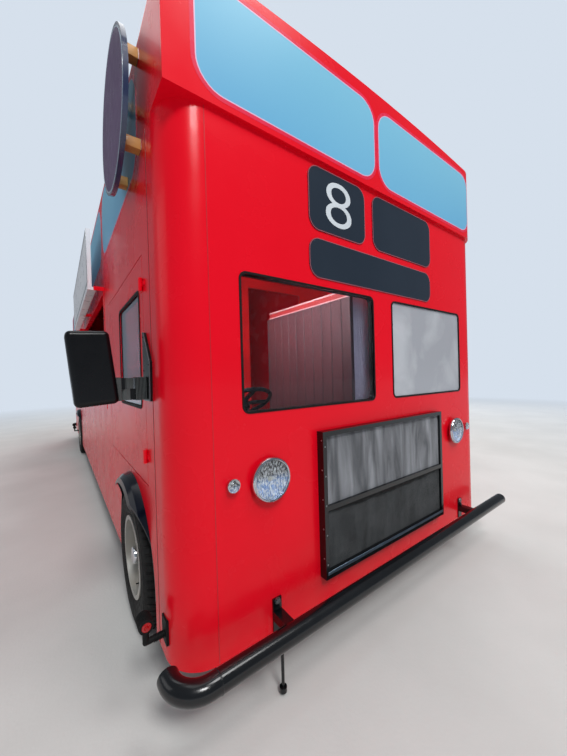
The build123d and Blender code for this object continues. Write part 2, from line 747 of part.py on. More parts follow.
def wheel_hole(width, y):
    """Opening in the floor for a wheel on the offside."""
    reach = math.sqrt((ARCH_RADIUS + BOX_SHEET) ** 2 - (FLOOR_BOTTOM_Z - AXLE_Z) ** 2) + RUNNING_GAP
    return block(-INNER, -INNER + width, y - reach, y + reach, 0, FLOOR_TOP_Z + 1)


def engine_cover_box(grow, top):
    """Space of the engine with a clearance all round, from the ground to a height."""
    side = ENGINE_WIDTH / 2 + COVER_CLEARANCE + grow
    y0 = back(ENGINE_FRONT_BACK) - COVER_CLEARANCE - grow
    y1 = back(ENGINE_FRONT_BACK + ENGINE_LENGTH) + COVER_CLEARANCE + grow
    return block(-side, side, y0, y1, 0, top)


def floor_panel():
    floor = block(-INNER, INNER, back(END_RETURN), -back(END_RETURN), FLOOR_BOTTOM_Z, FLOOR_TOP_Z)
    inset = CORNER_RADIUS
    for y0, y1 in ((back(WALL), back(END_RETURN)), (-back(END_RETURN), -back(WALL))):
        floor += block(-INNER + inset, INNER - inset, y0, y1, FLOOR_BOTTOM_Z, FLOOR_TOP_Z)
    for width, distance in ((FRONT_BOX_WIDTH, FRONT_AXLE_BACK), (REAR_BOX_WIDTH, REAR_AXLE_BACK)):
        for hole in both(wheel_hole(width, back(distance))):
            floor -= hole
    return floor - engine_cover_box(0, FLOOR_TOP_Z + 1)


def wheel_box(width, y):
    """Inner wheel arch of sheet on the offside, above the floor's underside."""
    inner_end = -INNER + width
    shell = rod_x(-INNER, inner_end, y, AXLE_Z, ARCH_RADIUS + BOX_SHEET)
    shell -= rod_x(-INNER - 1, inner_end - BOX_SHEET, y, AXLE_Z, ARCH_RADIUS)
    return shell & block(-INNER, inner_end, y - FAR, y + FAR, FLOOR_BOTTOM_Z, FAR)


def wheel_boxes():
    front = both(wheel_box(FRONT_BOX_WIDTH, back(FRONT_AXLE_BACK)))
    return front + both(wheel_box(REAR_BOX_WIDTH, back(REAR_AXLE_BACK)))


# Columns: distance out from the wall, drop inwards from the arch; outside first, then inside
GUARD_OUTSIDE = [(34, 4), (55, 23), (MUDGUARD_STANDOUT, 49)]
GUARD_INSIDE = [(56, 49), (49, 27), (31, 10)]
# Columns: distance along the body from the axle, distance out from the wall
GUARD_TAPER = [(200, MUDGUARD_STANDOUT), (317, 31), (400, 0)]


def mudguard_plan(y):
    """Upright solid that narrows a guard towards both of its ends."""
    reach = MUDGUARD_OUTER + WALL
    rear = [(-HALF - out, y + along) for along, out in GUARD_TAPER]
    front = [(-HALF - out, y - along) for along, out in reversed(GUARD_TAPER)]
    ends = [(-HALF, y + reach), (-INNER, y + reach), (-INNER, y - reach), (-HALF, y - reach)]
    plan = make_face(Polyline(*(front + rear + ends), close=True))
    return extrude(Pos(0, 0, AXLE_Z) * plan, FAR)


def mudguard(y):
    """Half round guard on the offside, curved out and down to a lip over the tyre."""
    outside = [(-HALF - out, ARCH_RADIUS - drop) for out, drop in GUARD_OUTSIDE]
    inside = [(-HALF - out, ARCH_RADIUS - drop) for out, drop in GUARD_INSIDE]
    section = [(-INNER, MUDGUARD_OUTER), (-HALF, MUDGUARD_OUTER)] + outside + inside
    section += [(-HALF, ARCH_RADIUS), (-INNER, ARCH_RADIUS)]
    return turned(section, y, AXLE_Z) & mudguard_plan(y)


def mudguards():
    return both(mudguard(back(FRONT_AXLE_BACK))) + both(mudguard(back(REAR_AXLE_BACK)))


def engine_block():
    side = ENGINE_WIDTH / 2
    return block(-side, side, back(ENGINE_FRONT_BACK), back(ENGINE_FRONT_BACK + ENGINE_LENGTH),
                 ENGINE_BOTTOM_Z, ENGINE_TOP_Z)


SUBFRAME_BOTTOM_Z = 235
SUBFRAME_HEIGHT = 50
SUBFRAME_HALF_LENGTH = 60
ENGINE_CLEARANCE = 5
ARM_HALF_WIDTH = 22
ARM_THICKNESS = 26
KNUCKLE_GAP = 6
SHAFT_GAP = 8
KNUCKLE_BOTTOM_Z = SUBFRAME_BOTTOM_Z + SUBFRAME_HEIGHT + KNUCKLE_GAP
KNUCKLE_TOP_Z = 2 * AXLE_Z - KNUCKLE_BOTTOM_Z
KNUCKLE_RADIUS = 26
PIN_LENGTH = 24


def front_subframe():
    """Beam under the rails with the lower arms, the struts and the kingpins' ends."""
    y = back(FRONT_AXLE_BACK)
    outer = RAIL_X + RAIL_WIDTH / 2
    top = SUBFRAME_BOTTOM_Z + SUBFRAME_HEIGHT
    beam = block(-outer, outer, y - SUBFRAME_HALF_LENGTH, y + SUBFRAME_HALF_LENGTH,
                 SUBFRAME_BOTTOM_Z, top)
    for side in (-1, 1):
        x = side * RAIL_X
        half = RAIL_WIDTH / 2
        beam += block(x - half, x + half, y - SUBFRAME_HALF_LENGTH, y + SUBFRAME_HALF_LENGTH,
                      SUBFRAME_BOTTOM_Z, RAIL_BOTTOM_Z)
        x = side * KINGPIN_X
        beam += block(side * outer, x, y - ARM_HALF_WIDTH, y + ARM_HALF_WIDTH,
                      top - ARM_THICKNESS, top)
        beam += rod_z(x, y, top - ARM_THICKNESS, top, ARM_HALF_WIDTH)
        beam += rod_z(x, y, top, KNUCKLE_BOTTOM_Z + PIN_LENGTH, KINGPIN_RADIUS)
    above = block(-FAR, FAR, -FAR, FAR, ENGINE_BOTTOM_Z - ENGINE_CLEARANCE, FAR)
    beam -= engine_cover_box(ENGINE_CLEARANCE - COVER_CLEARANCE, FAR) & above
    struts = []
    strut_top = AXLE_Z + math.sqrt((ARCH_RADIUS - RUNNING_GAP) ** 2 - STRUT_RADIUS ** 2)
    for side in (-1, 1):
        x = side * KINGPIN_X
        bottom = KNUCKLE_TOP_Z + KNUCKLE_GAP
        strut = rod_z(x, y, bottom, strut_top, STRUT_RADIUS)
        struts.append(strut + rod_z(x, y, KNUCKLE_TOP_Z - PIN_LENGTH, bottom, KINGPIN_RADIUS))
        inner = side * (ENGINE_WIDTH / 2 + RUNNING_GAP)
        shaft_end = side * (KINGPIN_X - KNUCKLE_RADIUS - SHAFT_GAP)
        struts.append(rod_x(inner, shaft_end, y, AXLE_Z, SHAFT_RADIUS))
    return [beam] + struts


SPINDLE_END_INSET = 44
SPINDLE_END_X = TYRE_OUTER_X - SPINDLE_END_INSET
SPINDLE_COLLAR_RADIUS = 38
SHIELD_RADIUS = 120
SHIELD_THICKNESS = 10
SHIELD_INSET = 12
SHIELD_X = TYRE_INNER_X + SHIELD_INSET
STEERING_ARM = 150
STEERING_ARM_HALF_WIDTH = 14
STEERING_ARM_RISE = 30
STEERING_ARM_THICKNESS = 16
PIN_END_GAP = 2


def knuckle():
    """Offside knuckle: barrel on the kingpin, spindle, shield and steering arm."""
    x = -KINGPIN_X
    y = back(FRONT_AXLE_BACK)
    body = rod_z(x, y, KNUCKLE_BOTTOM_Z, KNUCKLE_TOP_Z, KNUCKLE_RADIUS)
    body += rod_x(-SHIELD_X - SHIELD_THICKNESS, x, y, AXLE_Z, SPINDLE_COLLAR_RADIUS)
    body += rod_x(-SPINDLE_END_X, x, y, AXLE_Z, SPINDLE_RADIUS)
    body += rod_x(-SHIELD_X - SHIELD_THICKNESS, -SHIELD_X, y, AXLE_Z, SHIELD_RADIUS)
    arm_z = KNUCKLE_BOTTOM_Z + STEERING_ARM_RISE
    body += block(x - STEERING_ARM_HALF_WIDTH, x + STEERING_ARM_HALF_WIDTH, y, y + STEERING_ARM,
                  arm_z, arm_z + STEERING_ARM_THICKNESS)
    bore = KINGPIN_RADIUS + RUNNING_GAP
    deep = PIN_LENGTH + PIN_END_GAP
    body -= rod_z(x, y, KNUCKLE_BOTTOM_Z - 1, KNUCKLE_BOTTOM_Z + deep, bore)
    return body - rod_z(x, y, KNUCKLE_TOP_Z - deep, KNUCKLE_TOP_Z + 1, bore)


ARM_WIDTH = 40
ARM_FRONT = 30
ARM_REAR = 45


def rear_axle():
    """Beam with trailing arms and spindles, hung from the rails."""
    y = back(REAR_AXLE_BACK)
    beam_y = y - TRAILING_ARM
    arm_x = TYRE_INNER_X - KINGPIN_INSET * 2
    axle = rod_x(-arm_x, arm_x, beam_y, AXLE_TUBE_Z, AXLE_TUBE_RADIUS)
    for side in (-1, 1):
        x = side * RAIL_X
        half = RAIL_WIDTH / 2
        axle += block(x - half, x + half, beam_y - half, beam_y + half, AXLE_TUBE_Z, RAIL_BOTTOM_Z)
        inner = arm_x - ARM_WIDTH
        axle += block(side * arm_x, side * inner, beam_y - ARM_FRONT, y + ARM_REAR,
                      AXLE_TUBE_Z - ARM_REAR, AXLE_Z + ARM_REAR)
        axle += rod_x(side * inner, side * SPINDLE_END_X, y, AXLE_Z, SPINDLE_RADIUS)
        axle += rod_x(side * SHIELD_X, side * (SHIELD_X + SHIELD_THICKNESS), y, AXLE_Z, SHIELD_RADIUS)
        axle += rod_x(side * arm_x, side * SHIELD_X, y, AXLE_Z, SPINDLE_COLLAR_RADIUS)
    return axle


# Wheels
# Columns: distance in from either sidewall, share of the tyre's height above the bead
TYRE_SECTION = [(21, 0), (13, 0.14), (0, 0.5), (6, 0.82), (22, 0.965), (46, 1)]


def tyre(y):
    """Offside tyre, turned from its half section."""
    outer = -TYRE_OUTER_X
    inner = -TYRE_INNER_X
    height = TYRE_RADIUS - BEAD_RADIUS
    left = [(outer + inset, BEAD_RADIUS + rise * height) for inset, rise in TYRE_SECTION]
    right = [(inner - inset, BEAD_RADIUS + rise * height) for inset, rise in reversed(TYRE_SECTION)]
    return turned(left + right, y, AXLE_Z)


RIM_FLANGE = 13
RIM_EDGE_INSET = 9
RIM_EDGE = 6
DISC_FACE = 58
DISC_DISH = 20
DISC_ROOT = 12
DISC_FLAT = 0.55
VENT_CIRCLE = 0.8
HUB_CAP_FACE = 12
HUB_CAP_CHAMFER = 8
HUB_BACK = 30
BORE_END_GAP = 2


def wheel(y):
    """Offside wheel: rim, dished disc with vents, hub and cap."""
    outer = -TYRE_OUTER_X
    seat = BEAD_RADIUS - RUNNING_GAP
    inside = seat - RIM_WALL
    face = outer + DISC_FACE
    rim_outer = outer + RIM_EDGE_INSET
    rim_inner = -TYRE_INNER_X - RIM_EDGE_INSET
    flange = seat + RIM_FLANGE
    rim = turned([(rim_outer, inside), (rim_outer, flange), (rim_outer + RIM_EDGE, flange),
                  (rim_outer + 2 * RIM_EDGE, seat), (rim_inner - 2 * RIM_EDGE, seat),
                  (rim_inner - RIM_EDGE, flange), (rim_inner, flange), (rim_inner, inside)], y, AXLE_Z)
    dish = VENT_CIRCLE * inside
    flat = DISC_FLAT * inside
    disc = turned([(face + DISC_ROOT, inside + 1), (face + DISC_ROOT + DISC_THICKNESS, inside + 1),
                   (face + DISC_THICKNESS + DISC_DISH, dish), (face + DISC_THICKNESS, flat),
                   (face + DISC_THICKNESS, SPINDLE_RADIUS), (face, SPINDLE_RADIUS),
                   (face, flat), (face + DISC_DISH, dish)], y, AXLE_Z)
    hub = rod_x(face, -TYRE_INNER_X - HUB_BACK, y, AXLE_Z, HUB_RADIUS)
    cap = rod_x(outer + HUB_CAP_FACE, face, y, AXLE_Z, HUB_CAP_RADIUS)
    cap = chamfer(cap.edges().filter_by(GeomType.CIRCLE).group_by(Axis.X)[0], HUB_CAP_CHAMFER)
    body = rim + disc + hub + cap
    body -= rod_x(-SPINDLE_END_X - BORE_END_GAP, 0, y, AXLE_Z, SPINDLE_RADIUS + RUNNING_GAP)
    for index in range(VENT_COUNT):
        angle = 2 * math.pi * index / VENT_COUNT
        body -= rod_x(face - DISC_DISH, face + 3 * DISC_DISH, y + dish * math.cos(angle),
                      AXLE_Z + dish * math.sin(angle), VENT_RADIUS)
    return body


# Bumpers
def bumper_tube():
    """Round tube across the front, turned back on the offside and cut straight on the nearside."""
    x0 = -HALF - BUMPER_SIDE_OUT
    x1 = HALF + BUMPER_STRAIGHT_OUT
    y0 = FRONT_Y - BUMPER_AHEAD
    y1 = y0 + BUMPER_BEND + BUMPER_RETURN
    path = FilletPolyline((x0, y1, BUMPER_Z), (x0, y0, BUMPER_Z), (x1, y0, BUMPER_Z), radius=BUMPER_BEND)
    plane = Plane(origin=(x0, y1, BUMPER_Z), z_dir=(0, -1, 0))
    return sweep(plane * Circle(BUMPER_RADIUS), path=path)


def bumper_saddle(x0, x1, y0, y1, z0, z1):
    """A block that bears on the bumper tube."""
    bore = rod_x(-HALF, HALF, FRONT_Y - BUMPER_AHEAD, BUMPER_Z, BUMPER_RADIUS + RUNNING_GAP)
    return block(x0, x1, y0, y1, z0, z1) - bore


def bumper_bracket(x):
    """Front bracket: plate with two bolt heads and a saddle on the tube."""
    x0 = x - BRACKET_WIDTH / 2
    x1 = x + BRACKET_WIDTH / 2
    plate = block(x0, x1, FRONT_Y - BRACKET_THICKNESS, FRONT_Y, SKIRT_Z, BRACKET_TOP_Z)
    plate += bumper_saddle(x0, x1, FRONT_Y - BUMPER_AHEAD, FRONT_Y - BRACKET_THICKNESS,
                           BUMPER_Z - SADDLE_HALF, BUMPER_Z + SADDLE_HALF)
    for drop in BOLT_DROPS:
        plate += rod_y(x, FRONT_Y - 2 * BRACKET_THICKNESS, FRONT_Y - BRACKET_THICKNESS,
                       BRACKET_TOP_Z - drop, BOLT_RADIUS)
    return plate


def hanging_rod():
    """Thin rod with a round foot under the saddle of the offside front bracket."""
    x = BRACKET_PLACES[0] - ROD_FROM_BRACKET
    y = FRONT_Y - ROD_AHEAD
    rod = rod_z(x, y, ROD_FOOT_Z, BUMPER_Z - SADDLE_HALF + ROD_BITE, ROD_RADIUS)
    return rod + rod_z(x, y, ROD_FOOT_Z, ROD_FOOT_Z + ROD_FOOT_HEIGHT, ROD_FOOT_RADIUS)


def tow_lug():
    """Rear towing lug with an upright pin hole, on the wall above the bumper."""
    half = TOW_LUG_WIDTH / 2
    lug = block(-half, half, REAR_Y, REAR_Y + TOW_LUG_REACH, TOW_LUG_Z, TOW_LUG_Z + TOW_LUG_THICKNESS)
    lug += block(-half, half, REAR_Y, REAR_Y + BRACKET_THICKNESS, TOW_LUG_Z - TOW_PLATE_BELOW,
                 TOW_LUG_Z + TOW_PLATE_ABOVE)
    bore_y = REAR_Y + TOW_LUG_REACH - TOW_LUG_WIDTH / 2
    return lug - rod_z(0, bore_y, 0, FAR, TOW_BORE_RADIUS)


def bumper_brackets():
    plain = [bumper_bracket(x) for x in BRACKET_PLACES]
    front = [plain[0] + hanging_rod()] + plain[1:]
    return front + [rear_end(piece) for piece in plain] + [tow_lug()]


# Serving hatch
HATCH_MIDDLE_Y = (HATCH_FRONT_Y + HATCH_REAR_Y) / 2
FLAP_FRONT_Y = HATCH_FRONT_Y - FLAP_OVERLAP
FLAP_REAR_Y = HATCH_REAR_Y + FLAP_OVERLAP
LUG_HALF = 16
LUG_GAP = 6


def hatch_lugs():
    """Front Y of each lug that carries the flap's rod: both ends and the middle."""
    return [FLAP_FRONT_Y - LUG_GAP - LUG, HATCH_MIDDLE_Y - LUG / 2, FLAP_REAR_Y + LUG_GAP]


def hatch_frame():
    """Trim round the opening with the lugs and rod of the flap."""
    outer = block(-HALF - TRIM_SHEET, -HALF, HATCH_FRONT_Y - HATCH_TRIM, HATCH_REAR_Y + HATCH_TRIM,
                  HATCH_SILL_Z - HATCH_TRIM, FLAP_HINGE_Z + LUG_HALF)
    lining = block(-HALF, -INNER, HATCH_FRONT_Y, HATCH_REAR_Y, HATCH_SILL_Z, HATCH_TOP_Z)
    hole = block(-HALF - WALL, -INNER + WALL, HATCH_FRONT_Y + TRIM_SHEET, HATCH_REAR_Y - TRIM_SHEET,
                 HATCH_SILL_Z + TRIM_SHEET, HATCH_TOP_Z - TRIM_SHEET)
    frame = outer + lining - hole
    for y in hatch_lugs():
        frame += block(FLAP_AXIS_X - TUBE_RADIUS, -HALF, y, y + LUG, FLAP_HINGE_Z - LUG_HALF,
                       FLAP_HINGE_Z + LUG_HALF)
    rod_front = hatch_lugs()[0]
    rod_rear = hatch_lugs()[2] + LUG
    return frame + rod_y(FLAP_AXIS_X, rod_front, rod_rear, FLAP_HINGE_Z, HINGE_ROD)


def hatch_flap():
    """Upper flap of the hatch, folded up with its lining outwards."""
    inner_x = FLAP_AXIS_X - (FLAP_HINGE_OUT - FLAP_CLEARANCE)
    outer_x = inner_x + FLAP_THICKNESS
    top = FLAP_HINGE_Z + TUBE_RADIUS + FLAP_HEIGHT
    flap = block(inner_x, outer_x, FLAP_FRONT_Y, FLAP_REAR_Y, FLAP_HINGE_Z - TUBE_RADIUS, top)
    flap += block(inner_x, FLAP_AXIS_X, FLAP_FRONT_Y, FLAP_REAR_Y, FLAP_HINGE_Z - TUBE_RADIUS,
                  FLAP_HINGE_Z + TUBE_RADIUS)
    flap += rod_y(FLAP_AXIS_X, FLAP_FRONT_Y, FLAP_REAR_Y, FLAP_HINGE_Z, TUBE_RADIUS)
    flap -= rod_y(FLAP_AXIS_X, FLAP_FRONT_Y - 1, FLAP_REAR_Y + 1, FLAP_HINGE_Z, HINGE_ROD + RUNNING_GAP)
    notch = LUG / 2 + LUG_GAP
    return flap - block(inner_x - 1, 0, HATCH_MIDDLE_Y - notch, HATCH_MIDDLE_Y + notch,
                        FLAP_HINGE_Z - TUBE_RADIUS - 1, FLAP_HINGE_Z + LUG_HALF + LUG_GAP)


LEAF_FRONT_Y = HATCH_FRONT_Y - FLAP_OVERLAP
LEAF_REAR_Y = HATCH_REAR_Y + FLAP_OVERLAP


def counter_leaf():
    """Lower half of the hatch, lying inwards as the serving counter."""
    half = LEAF_THICKNESS / 2
    leaf = block(LEAF_AXIS_X, LEAF_AXIS_X + LEAF_DEPTH, LEAF_FRONT_Y, LEAF_REAR_Y,
                 LEAF_AXIS_Z - half, LEAF_AXIS_Z + half)
    leaf += rod_y(LEAF_AXIS_X, LEAF_FRONT_Y, LEAF_REAR_Y, LEAF_AXIS_Z, half)
    return leaf - rod_y(LEAF_AXIS_X, LEAF_FRONT_Y - 1, LEAF_REAR_Y + 1, LEAF_AXIS_Z,
                        HINGE_ROD + RUNNING_GAP)


def serving_counter():
    """Open-backed cabinet under the leaf, with the blocks and rod that the leaf turns on."""
    x0 = -INNER
    x1 = -INNER + COUNTER_DEPTH
    y0 = LEAF_FRONT_Y - LUG_GAP - LUG
    y1 = LEAF_REAR_Y + LUG_GAP + LUG
    top = COUNTER_TOP_Z
    cabinet = block(x0, x1, y0, y1, FLOOR_TOP_Z, top)
    bay = (y1 - y0 - COUNTER_SHEET * 4) / 3
    for index in range(3):
        front = y0 + COUNTER_SHEET + index * (bay + COUNTER_SHEET)
        cabinet -= block(x0 + COUNTER_SHEET, x1 + 1, front, front + bay,
                         FLOOR_TOP_Z + COUNTER_SHEET, top - COUNTER_SHEET)
    high = LEAF_AXIS_Z + LEAF_THICKNESS / 2
    for y in (y0, y1 - LUG):
        cabinet += block(x0, LEAF_AXIS_X + LEAF_THICKNESS, y, y + LUG, top, high)
    return cabinet + rod_y(LEAF_AXIS_X, y0, y1, LEAF_AXIS_Z, HINGE_ROD)


# Cab fittings
def bulkhead():
    wall = block(-INNER, INNER, back(BULKHEAD_BACK), back(BULKHEAD_BACK + BULKHEAD_THICKNESS),
                 FLOOR_TOP_Z, BULKHEAD_TOP_Z)
    x0 = BULKHEAD_DOOR_X - BULKHEAD_DOOR_WIDTH / 2
    return wall - block(x0, x0 + BULKHEAD_DOOR_WIDTH, back(BULKHEAD_BACK) - WALL,
                        back(BULKHEAD_BACK + BULKHEAD_THICKNESS) + WALL, FLOOR_TOP_Z - 1,
                        BULKHEAD_DOOR_TOP_Z)


def cab_partition():
    """Board beside the driver, on the engine cover and the dash."""
    board = block(PARTITION_X - PARTITION_THICKNESS, PARTITION_X, back(PARTITION_FRONT_BACK),
                  back(PARTITION_REAR_BACK), DASH_BOTTOM_Z, PARTITION_TOP_Z)
    return board - dashboard()


def seat_frame():
    """Plinth of the driver's seat and the plate behind its backrest."""
    x0 = SEAT_X - SEAT_WIDTH / 2
    x1 = SEAT_X + SEAT_WIDTH / 2
    y0 = back(SEAT_FRONT_BACK)
    y1 = y0 + SEAT_DEPTH
    base = block(x0 + 50, x1 - 50, y0 + 60, y1 - 20, FLOOR_TOP_Z, SEAT_BASE_TOP_Z - 20)
    base += block(x0, x1, y0, y1 + BACKREST_THICKNESS + 20, SEAT_BASE_TOP_Z - 20, SEAT_BASE_TOP_Z)
    plate_y = y1 + BACKREST_THICKNESS
    return base + block(x0 + 30, x1 - 30, plate_y, plate_y + 20, SEAT_BASE_TOP_Z - 20,
                        SEAT_BASE_TOP_Z + BACKREST_HEIGHT)


def seat_cushions():
    x0 = SEAT_X - SEAT_WIDTH / 2
    x1 = SEAT_X + SEAT_WIDTH / 2
    y0 = back(SEAT_FRONT_BACK)
    y1 = y0 + SEAT_DEPTH
    gap = RUNNING_GAP
    base_z = SEAT_BASE_TOP_Z + gap
    cushion = block(x0, x1, y0, y1 - gap, base_z, base_z + CUSHION_THICKNESS)
    cushion = fillet(cushion.edges(), 30)
    backrest = block(x0 + 15, x1 - 15, y1, y1 + BACKREST_THICKNESS - gap, base_z,
                     base_z + BACKREST_HEIGHT)
    return [cushion, fillet(backrest.edges(), 30)]


STEERING_X = SEAT_X


def steering_axis():
    """Direction of the steering shaft, pointing up and back to the driver."""
    rake = math.radians(STEERING_RAKE)
    return (0, math.sin(rake), math.cos(rake))


def on_steering(distance):
    """Point on the steering shaft at this distance below the wheel's centre."""
    ax = steering_axis()
    return (STEERING_X, back(STEERING_BACK) - distance * ax[1], STEERING_Z - distance * ax[2])


def steering_piece(radius, near, far):
    """Round bar on the steering shaft between two distances below the wheel."""
    low = on_steering(far)
    plane = Plane(origin=low, x_dir=(1, 0, 0), z_dir=steering_axis())
    return extrude(plane * Circle(radius), far - near)


COLUMN_TOP = 45
COLUMN_LENGTH = 800
STEERING_SPOKE = 14


def dashboard():
    """Dash across the cab, engine cover below it and the steering column."""
    side = INNER - CORNER_RADIUS
    dash = block(-side, side, back(WALL), back(WALL + DASH_DEPTH), DASH_BOTTOM_Z, DASH_TOP_Z)
    dash = fillet(dash.edges().filter_by(Axis.X).group_by(Axis.Y)[-1].sort_by(Axis.Z)[-1], 50)
    cover = engine_cover_box(COVER_SHEET, DASH_BOTTOM_Z) - engine_cover_box(0, DASH_BOTTOM_Z - COVER_SHEET)
    cover = cover & block(-FAR, FAR, -FAR, FAR, FLOOR_TOP_Z, DASH_BOTTOM_Z)
    column = steering_piece(COLUMN_RADIUS, COLUMN_TOP, COLUMN_LENGTH)
    column = column & block(-FAR, FAR, -FAR, FAR, FLOOR_TOP_Z, FAR)
    return dash + cover + column


def steering_wheel():
    plane = Plane(origin=on_steering(0), x_dir=(1, 0, 0), z_dir=steering_axis())
    ring = plane * Torus(WHEEL_RIM_RADIUS, WHEEL_RIM_SECTION)
    hub = steering_piece(45, -10, COLUMN_TOP - RUNNING_GAP)
    half = WHEEL_RIM_RADIUS
    bar = plane * Box(2 * half, 34, STEERING_SPOKE)
    post = plane * Pos(0, -half / 2, 0) * Box(34, half, STEERING_SPOKE)
    return ring + hub + bar + post


# Mirrors
# Corners of the base plate in a side view: distance behind the front, Z
MIRROR_BASE = [(248, 1262), (243, 1430), (340, 1565), (363, 1565), (363, 1262)]
# Corners of the head in a front view: distance out from the pivot's line, Z
MIRROR_HEAD = [(217, 1549), (68, 1556), (35, 1262), (190, 1250)]
MIRROR_STOP_GAP = 6
MIRROR_PIN_DROP = 8


def mirror_arm():
    """Offside base plate, arm and the lower half of the folding pivot."""
    y = MIRROR_Y
    arm_top = MIRROR_ARM_BOTTOM_Z + MIRROR_ARM_HEIGHT
    half = MIRROR_ARM_DEPTH / 2
    plate = Polyline(*[(back(distance), z) for distance, z in MIRROR_BASE], close=True)
    plane = Plane(origin=(-HALF - MIRROR_BASE_THICKNESS, 0, 0), x_dir=(0, 1, 0), z_dir=(1, 0, 0))
    arm = extrude(plane * make_face(plate), MIRROR_BASE_THICKNESS)
    stop = -MIRROR_PIVOT_X + MIRROR_PIVOT_RADIUS + MIRROR_STOP_GAP
    arm += block(stop, -HALF, y - half, y + half, MIRROR_ARM_BOTTOM_Z, arm_top)
    split = MIRROR_ARM_BOTTOM_Z + MIRROR_ARM_HEIGHT / 2
    arm += block(-MIRROR_PIVOT_X, stop, y - MIRROR_PIVOT_RADIUS, y + MIRROR_PIVOT_RADIUS,
                 MIRROR_ARM_BOTTOM_Z, split)
    arm += rod_z(-MIRROR_PIVOT_X, y, MIRROR_ARM_BOTTOM_Z, split, MIRROR_PIVOT_RADIUS)
    return arm + rod_z(-MIRROR_PIVOT_X, y, split, arm_top - MIRROR_PIN_DROP, MIRROR_PIN)


def mirror_head():
    """Offside head with its neck on the pin of the arm."""
    y = MIRROR_Y
    split = MIRROR_ARM_BOTTOM_Z + MIRROR_ARM_HEIGHT / 2 + RUNNING_GAP
    arm_top = MIRROR_ARM_BOTTOM_Z + MIRROR_ARM_HEIGHT
    outline = Polyline(*[(-MIRROR_PIVOT_X - out, z) for out, z in MIRROR_HEAD], close=True)
    plane = Plane(origin=(0, y + MIRROR_HEAD_DEPTH / 2, 0), x_dir=(1, 0, 0), z_dir=(0, -1, 0))
    shell = extrude(plane * make_face(outline), MIRROR_HEAD_DEPTH)
    head = fillet(shell.edges(), MIRROR_HEAD_EDGE)
    head += rod_z(-MIRROR_PIVOT_X, y, split, arm_top, MIRROR_PIVOT_RADIUS)
    head += block(-MIRROR_PIVOT_X - MIRROR_NECK, -MIRROR_PIVOT_X, y - MIRROR_PIVOT_RADIUS,
                  y + MIRROR_PIVOT_RADIUS, split, arm_top)
    return head - rod_z(-MIRROR_PIVOT_X, y, split - 1, arm_top - MIRROR_PIN_DROP + RUNNING_GAP,
                        MIRROR_PIN + RUNNING_GAP)


# Round signs and markers
def round_sign():
    """Plain disc on the offside, held off the wall by four blocks."""
    y = back(ROUND_SIGN_BACK)
    inner = -HALF - ROUND_SIGN_STANDOUT
    sign = rod_x(inner - ROUND_SIGN_THICKNESS, inner, y, ROUND_SIGN_Z, ROUND_SIGN_RADIUS)
    for dy in (-STANDOFF_ALONG, STANDOFF_ALONG):
        for dz in (-STANDOFF_UP, STANDOFF_UP):
            sign += block(inner, -HALF, y + dy - STANDOFF / 2, y + dy + STANDOFF / 2,
                          ROUND_SIGN_Z + dz - STANDOFF / 2, ROUND_SIGN_Z + dz + STANDOFF / 2)
    return sign


MARKER_X = -HALF - MARKER_REACH


def marker_arm(y, facing):
    """Rubber arm on a small plate on the offside, turned up to the holder of the lens."""
    inside = -HALF + MARKER_PLATE_BITE
    arm = block(-HALF - MARKER_PLATE_THICKNESS, inside, y - MARKER_PLATE_HALF, y + MARKER_PLATE_HALF,
                MARKER_PLATE_BOTTOM_Z, MARKER_PLATE_TOP_Z)
    arm += rod_x(MARKER_X, inside, y, MARKER_ARM_Z, MARKER_ARM_RADIUS)
    arm -= body_filling()
    arm += Pos(MARKER_X, y, MARKER_ARM_Z) * Sphere(MARKER_ARM_RADIUS)
    arm += rod_z(MARKER_X, y, MARKER_ARM_Z, MARKER_Z, MARKER_ARM_RADIUS)
    near = y + facing * MARKER_HOLDER_NEAR
    return arm + rod_y(MARKER_X, near, near - facing * MARKER_HOLDER_LENGTH, MARKER_Z,
                       MARKER_HOLDER_RADIUS)


def marker_lens(y, facing):
    """Round lens on the holder, facing the front (-1) or the rear (+1)."""
    near = y + facing * MARKER_HOLDER_NEAR
    return rod_y(MARKER_X, near, near + facing * MARKER_LENS_LENGTH, MARKER_Z, MARKER_LENS_RADIUS)


def signal_lenses():
    tail = rod_y(-TAIL_LAMP_X, REAR_Y, REAR_Y + TAIL_LAMP_DEPTH, TAIL_LAMP_Z, TAIL_LAMP_RADIUS)
    front = both(marker_lens(back(MARKER_FRONT_BACK), -1))
    return front + both(marker_lens(back(MARKER_REAR_BACK), 1)) + both(tail)


write("chassis_frame", chassis_frame())
write("floor_panel", floor_panel())
write("front_wall", front_wall())
write("side_wall_offside", offside_wall())
write("side_wall_nearside", other_side(side_wall(UPPER_CORNER_BACK)))
write("rear_wall", rear_wall())
write("upper_front_panel", upper_front_panel())
write("upper_rear_panel", rear_end(upper_front_panel()))
write("roof_panel", roof_panel())
write("windscreen_offside", windscreen(screen_places()[0]))
write("windscreen_nearside", windscreen(screen_places()[1]))
write("windscreen_seals", [windscreen_seal(x) for x in screen_places()])
write("sign_boards", sign_boards())
write("grille_frame", grille_frame())
write("grille_cloths", grille_cloths())
write("lamp_bodies", both(headlamp_body()) + both(side_lamp_body()))
write("lamp_lenses", lamp_lenses())
write("bumper_tubes", [bumper_tube(), rear_end(bumper_tube())])
write("bumper_brackets", bumper_brackets())
write("mudguards", mudguards())
write("wheel_boxes", wheel_boxes())
write("marker_arms", both(marker_arm(back(MARKER_FRONT_BACK), -1))
      + both(marker_arm(back(MARKER_REAR_BACK), 1)))
write("signal_lenses", signal_lenses())
write("round_signs", both(round_sign()))
write("mirror_arms", both(mirror_arm()))
write("mirror_head_offside", mirror_head())
write("mirror_head_nearside", other_side(mirror_head()))
write("engine_block", engine_block())
write("front_subframe", front_subframe())
write("rear_axle", rear_axle())
write("knuckle_offside", knuckle())
write("knuckle_nearside", other_side(knuckle()))
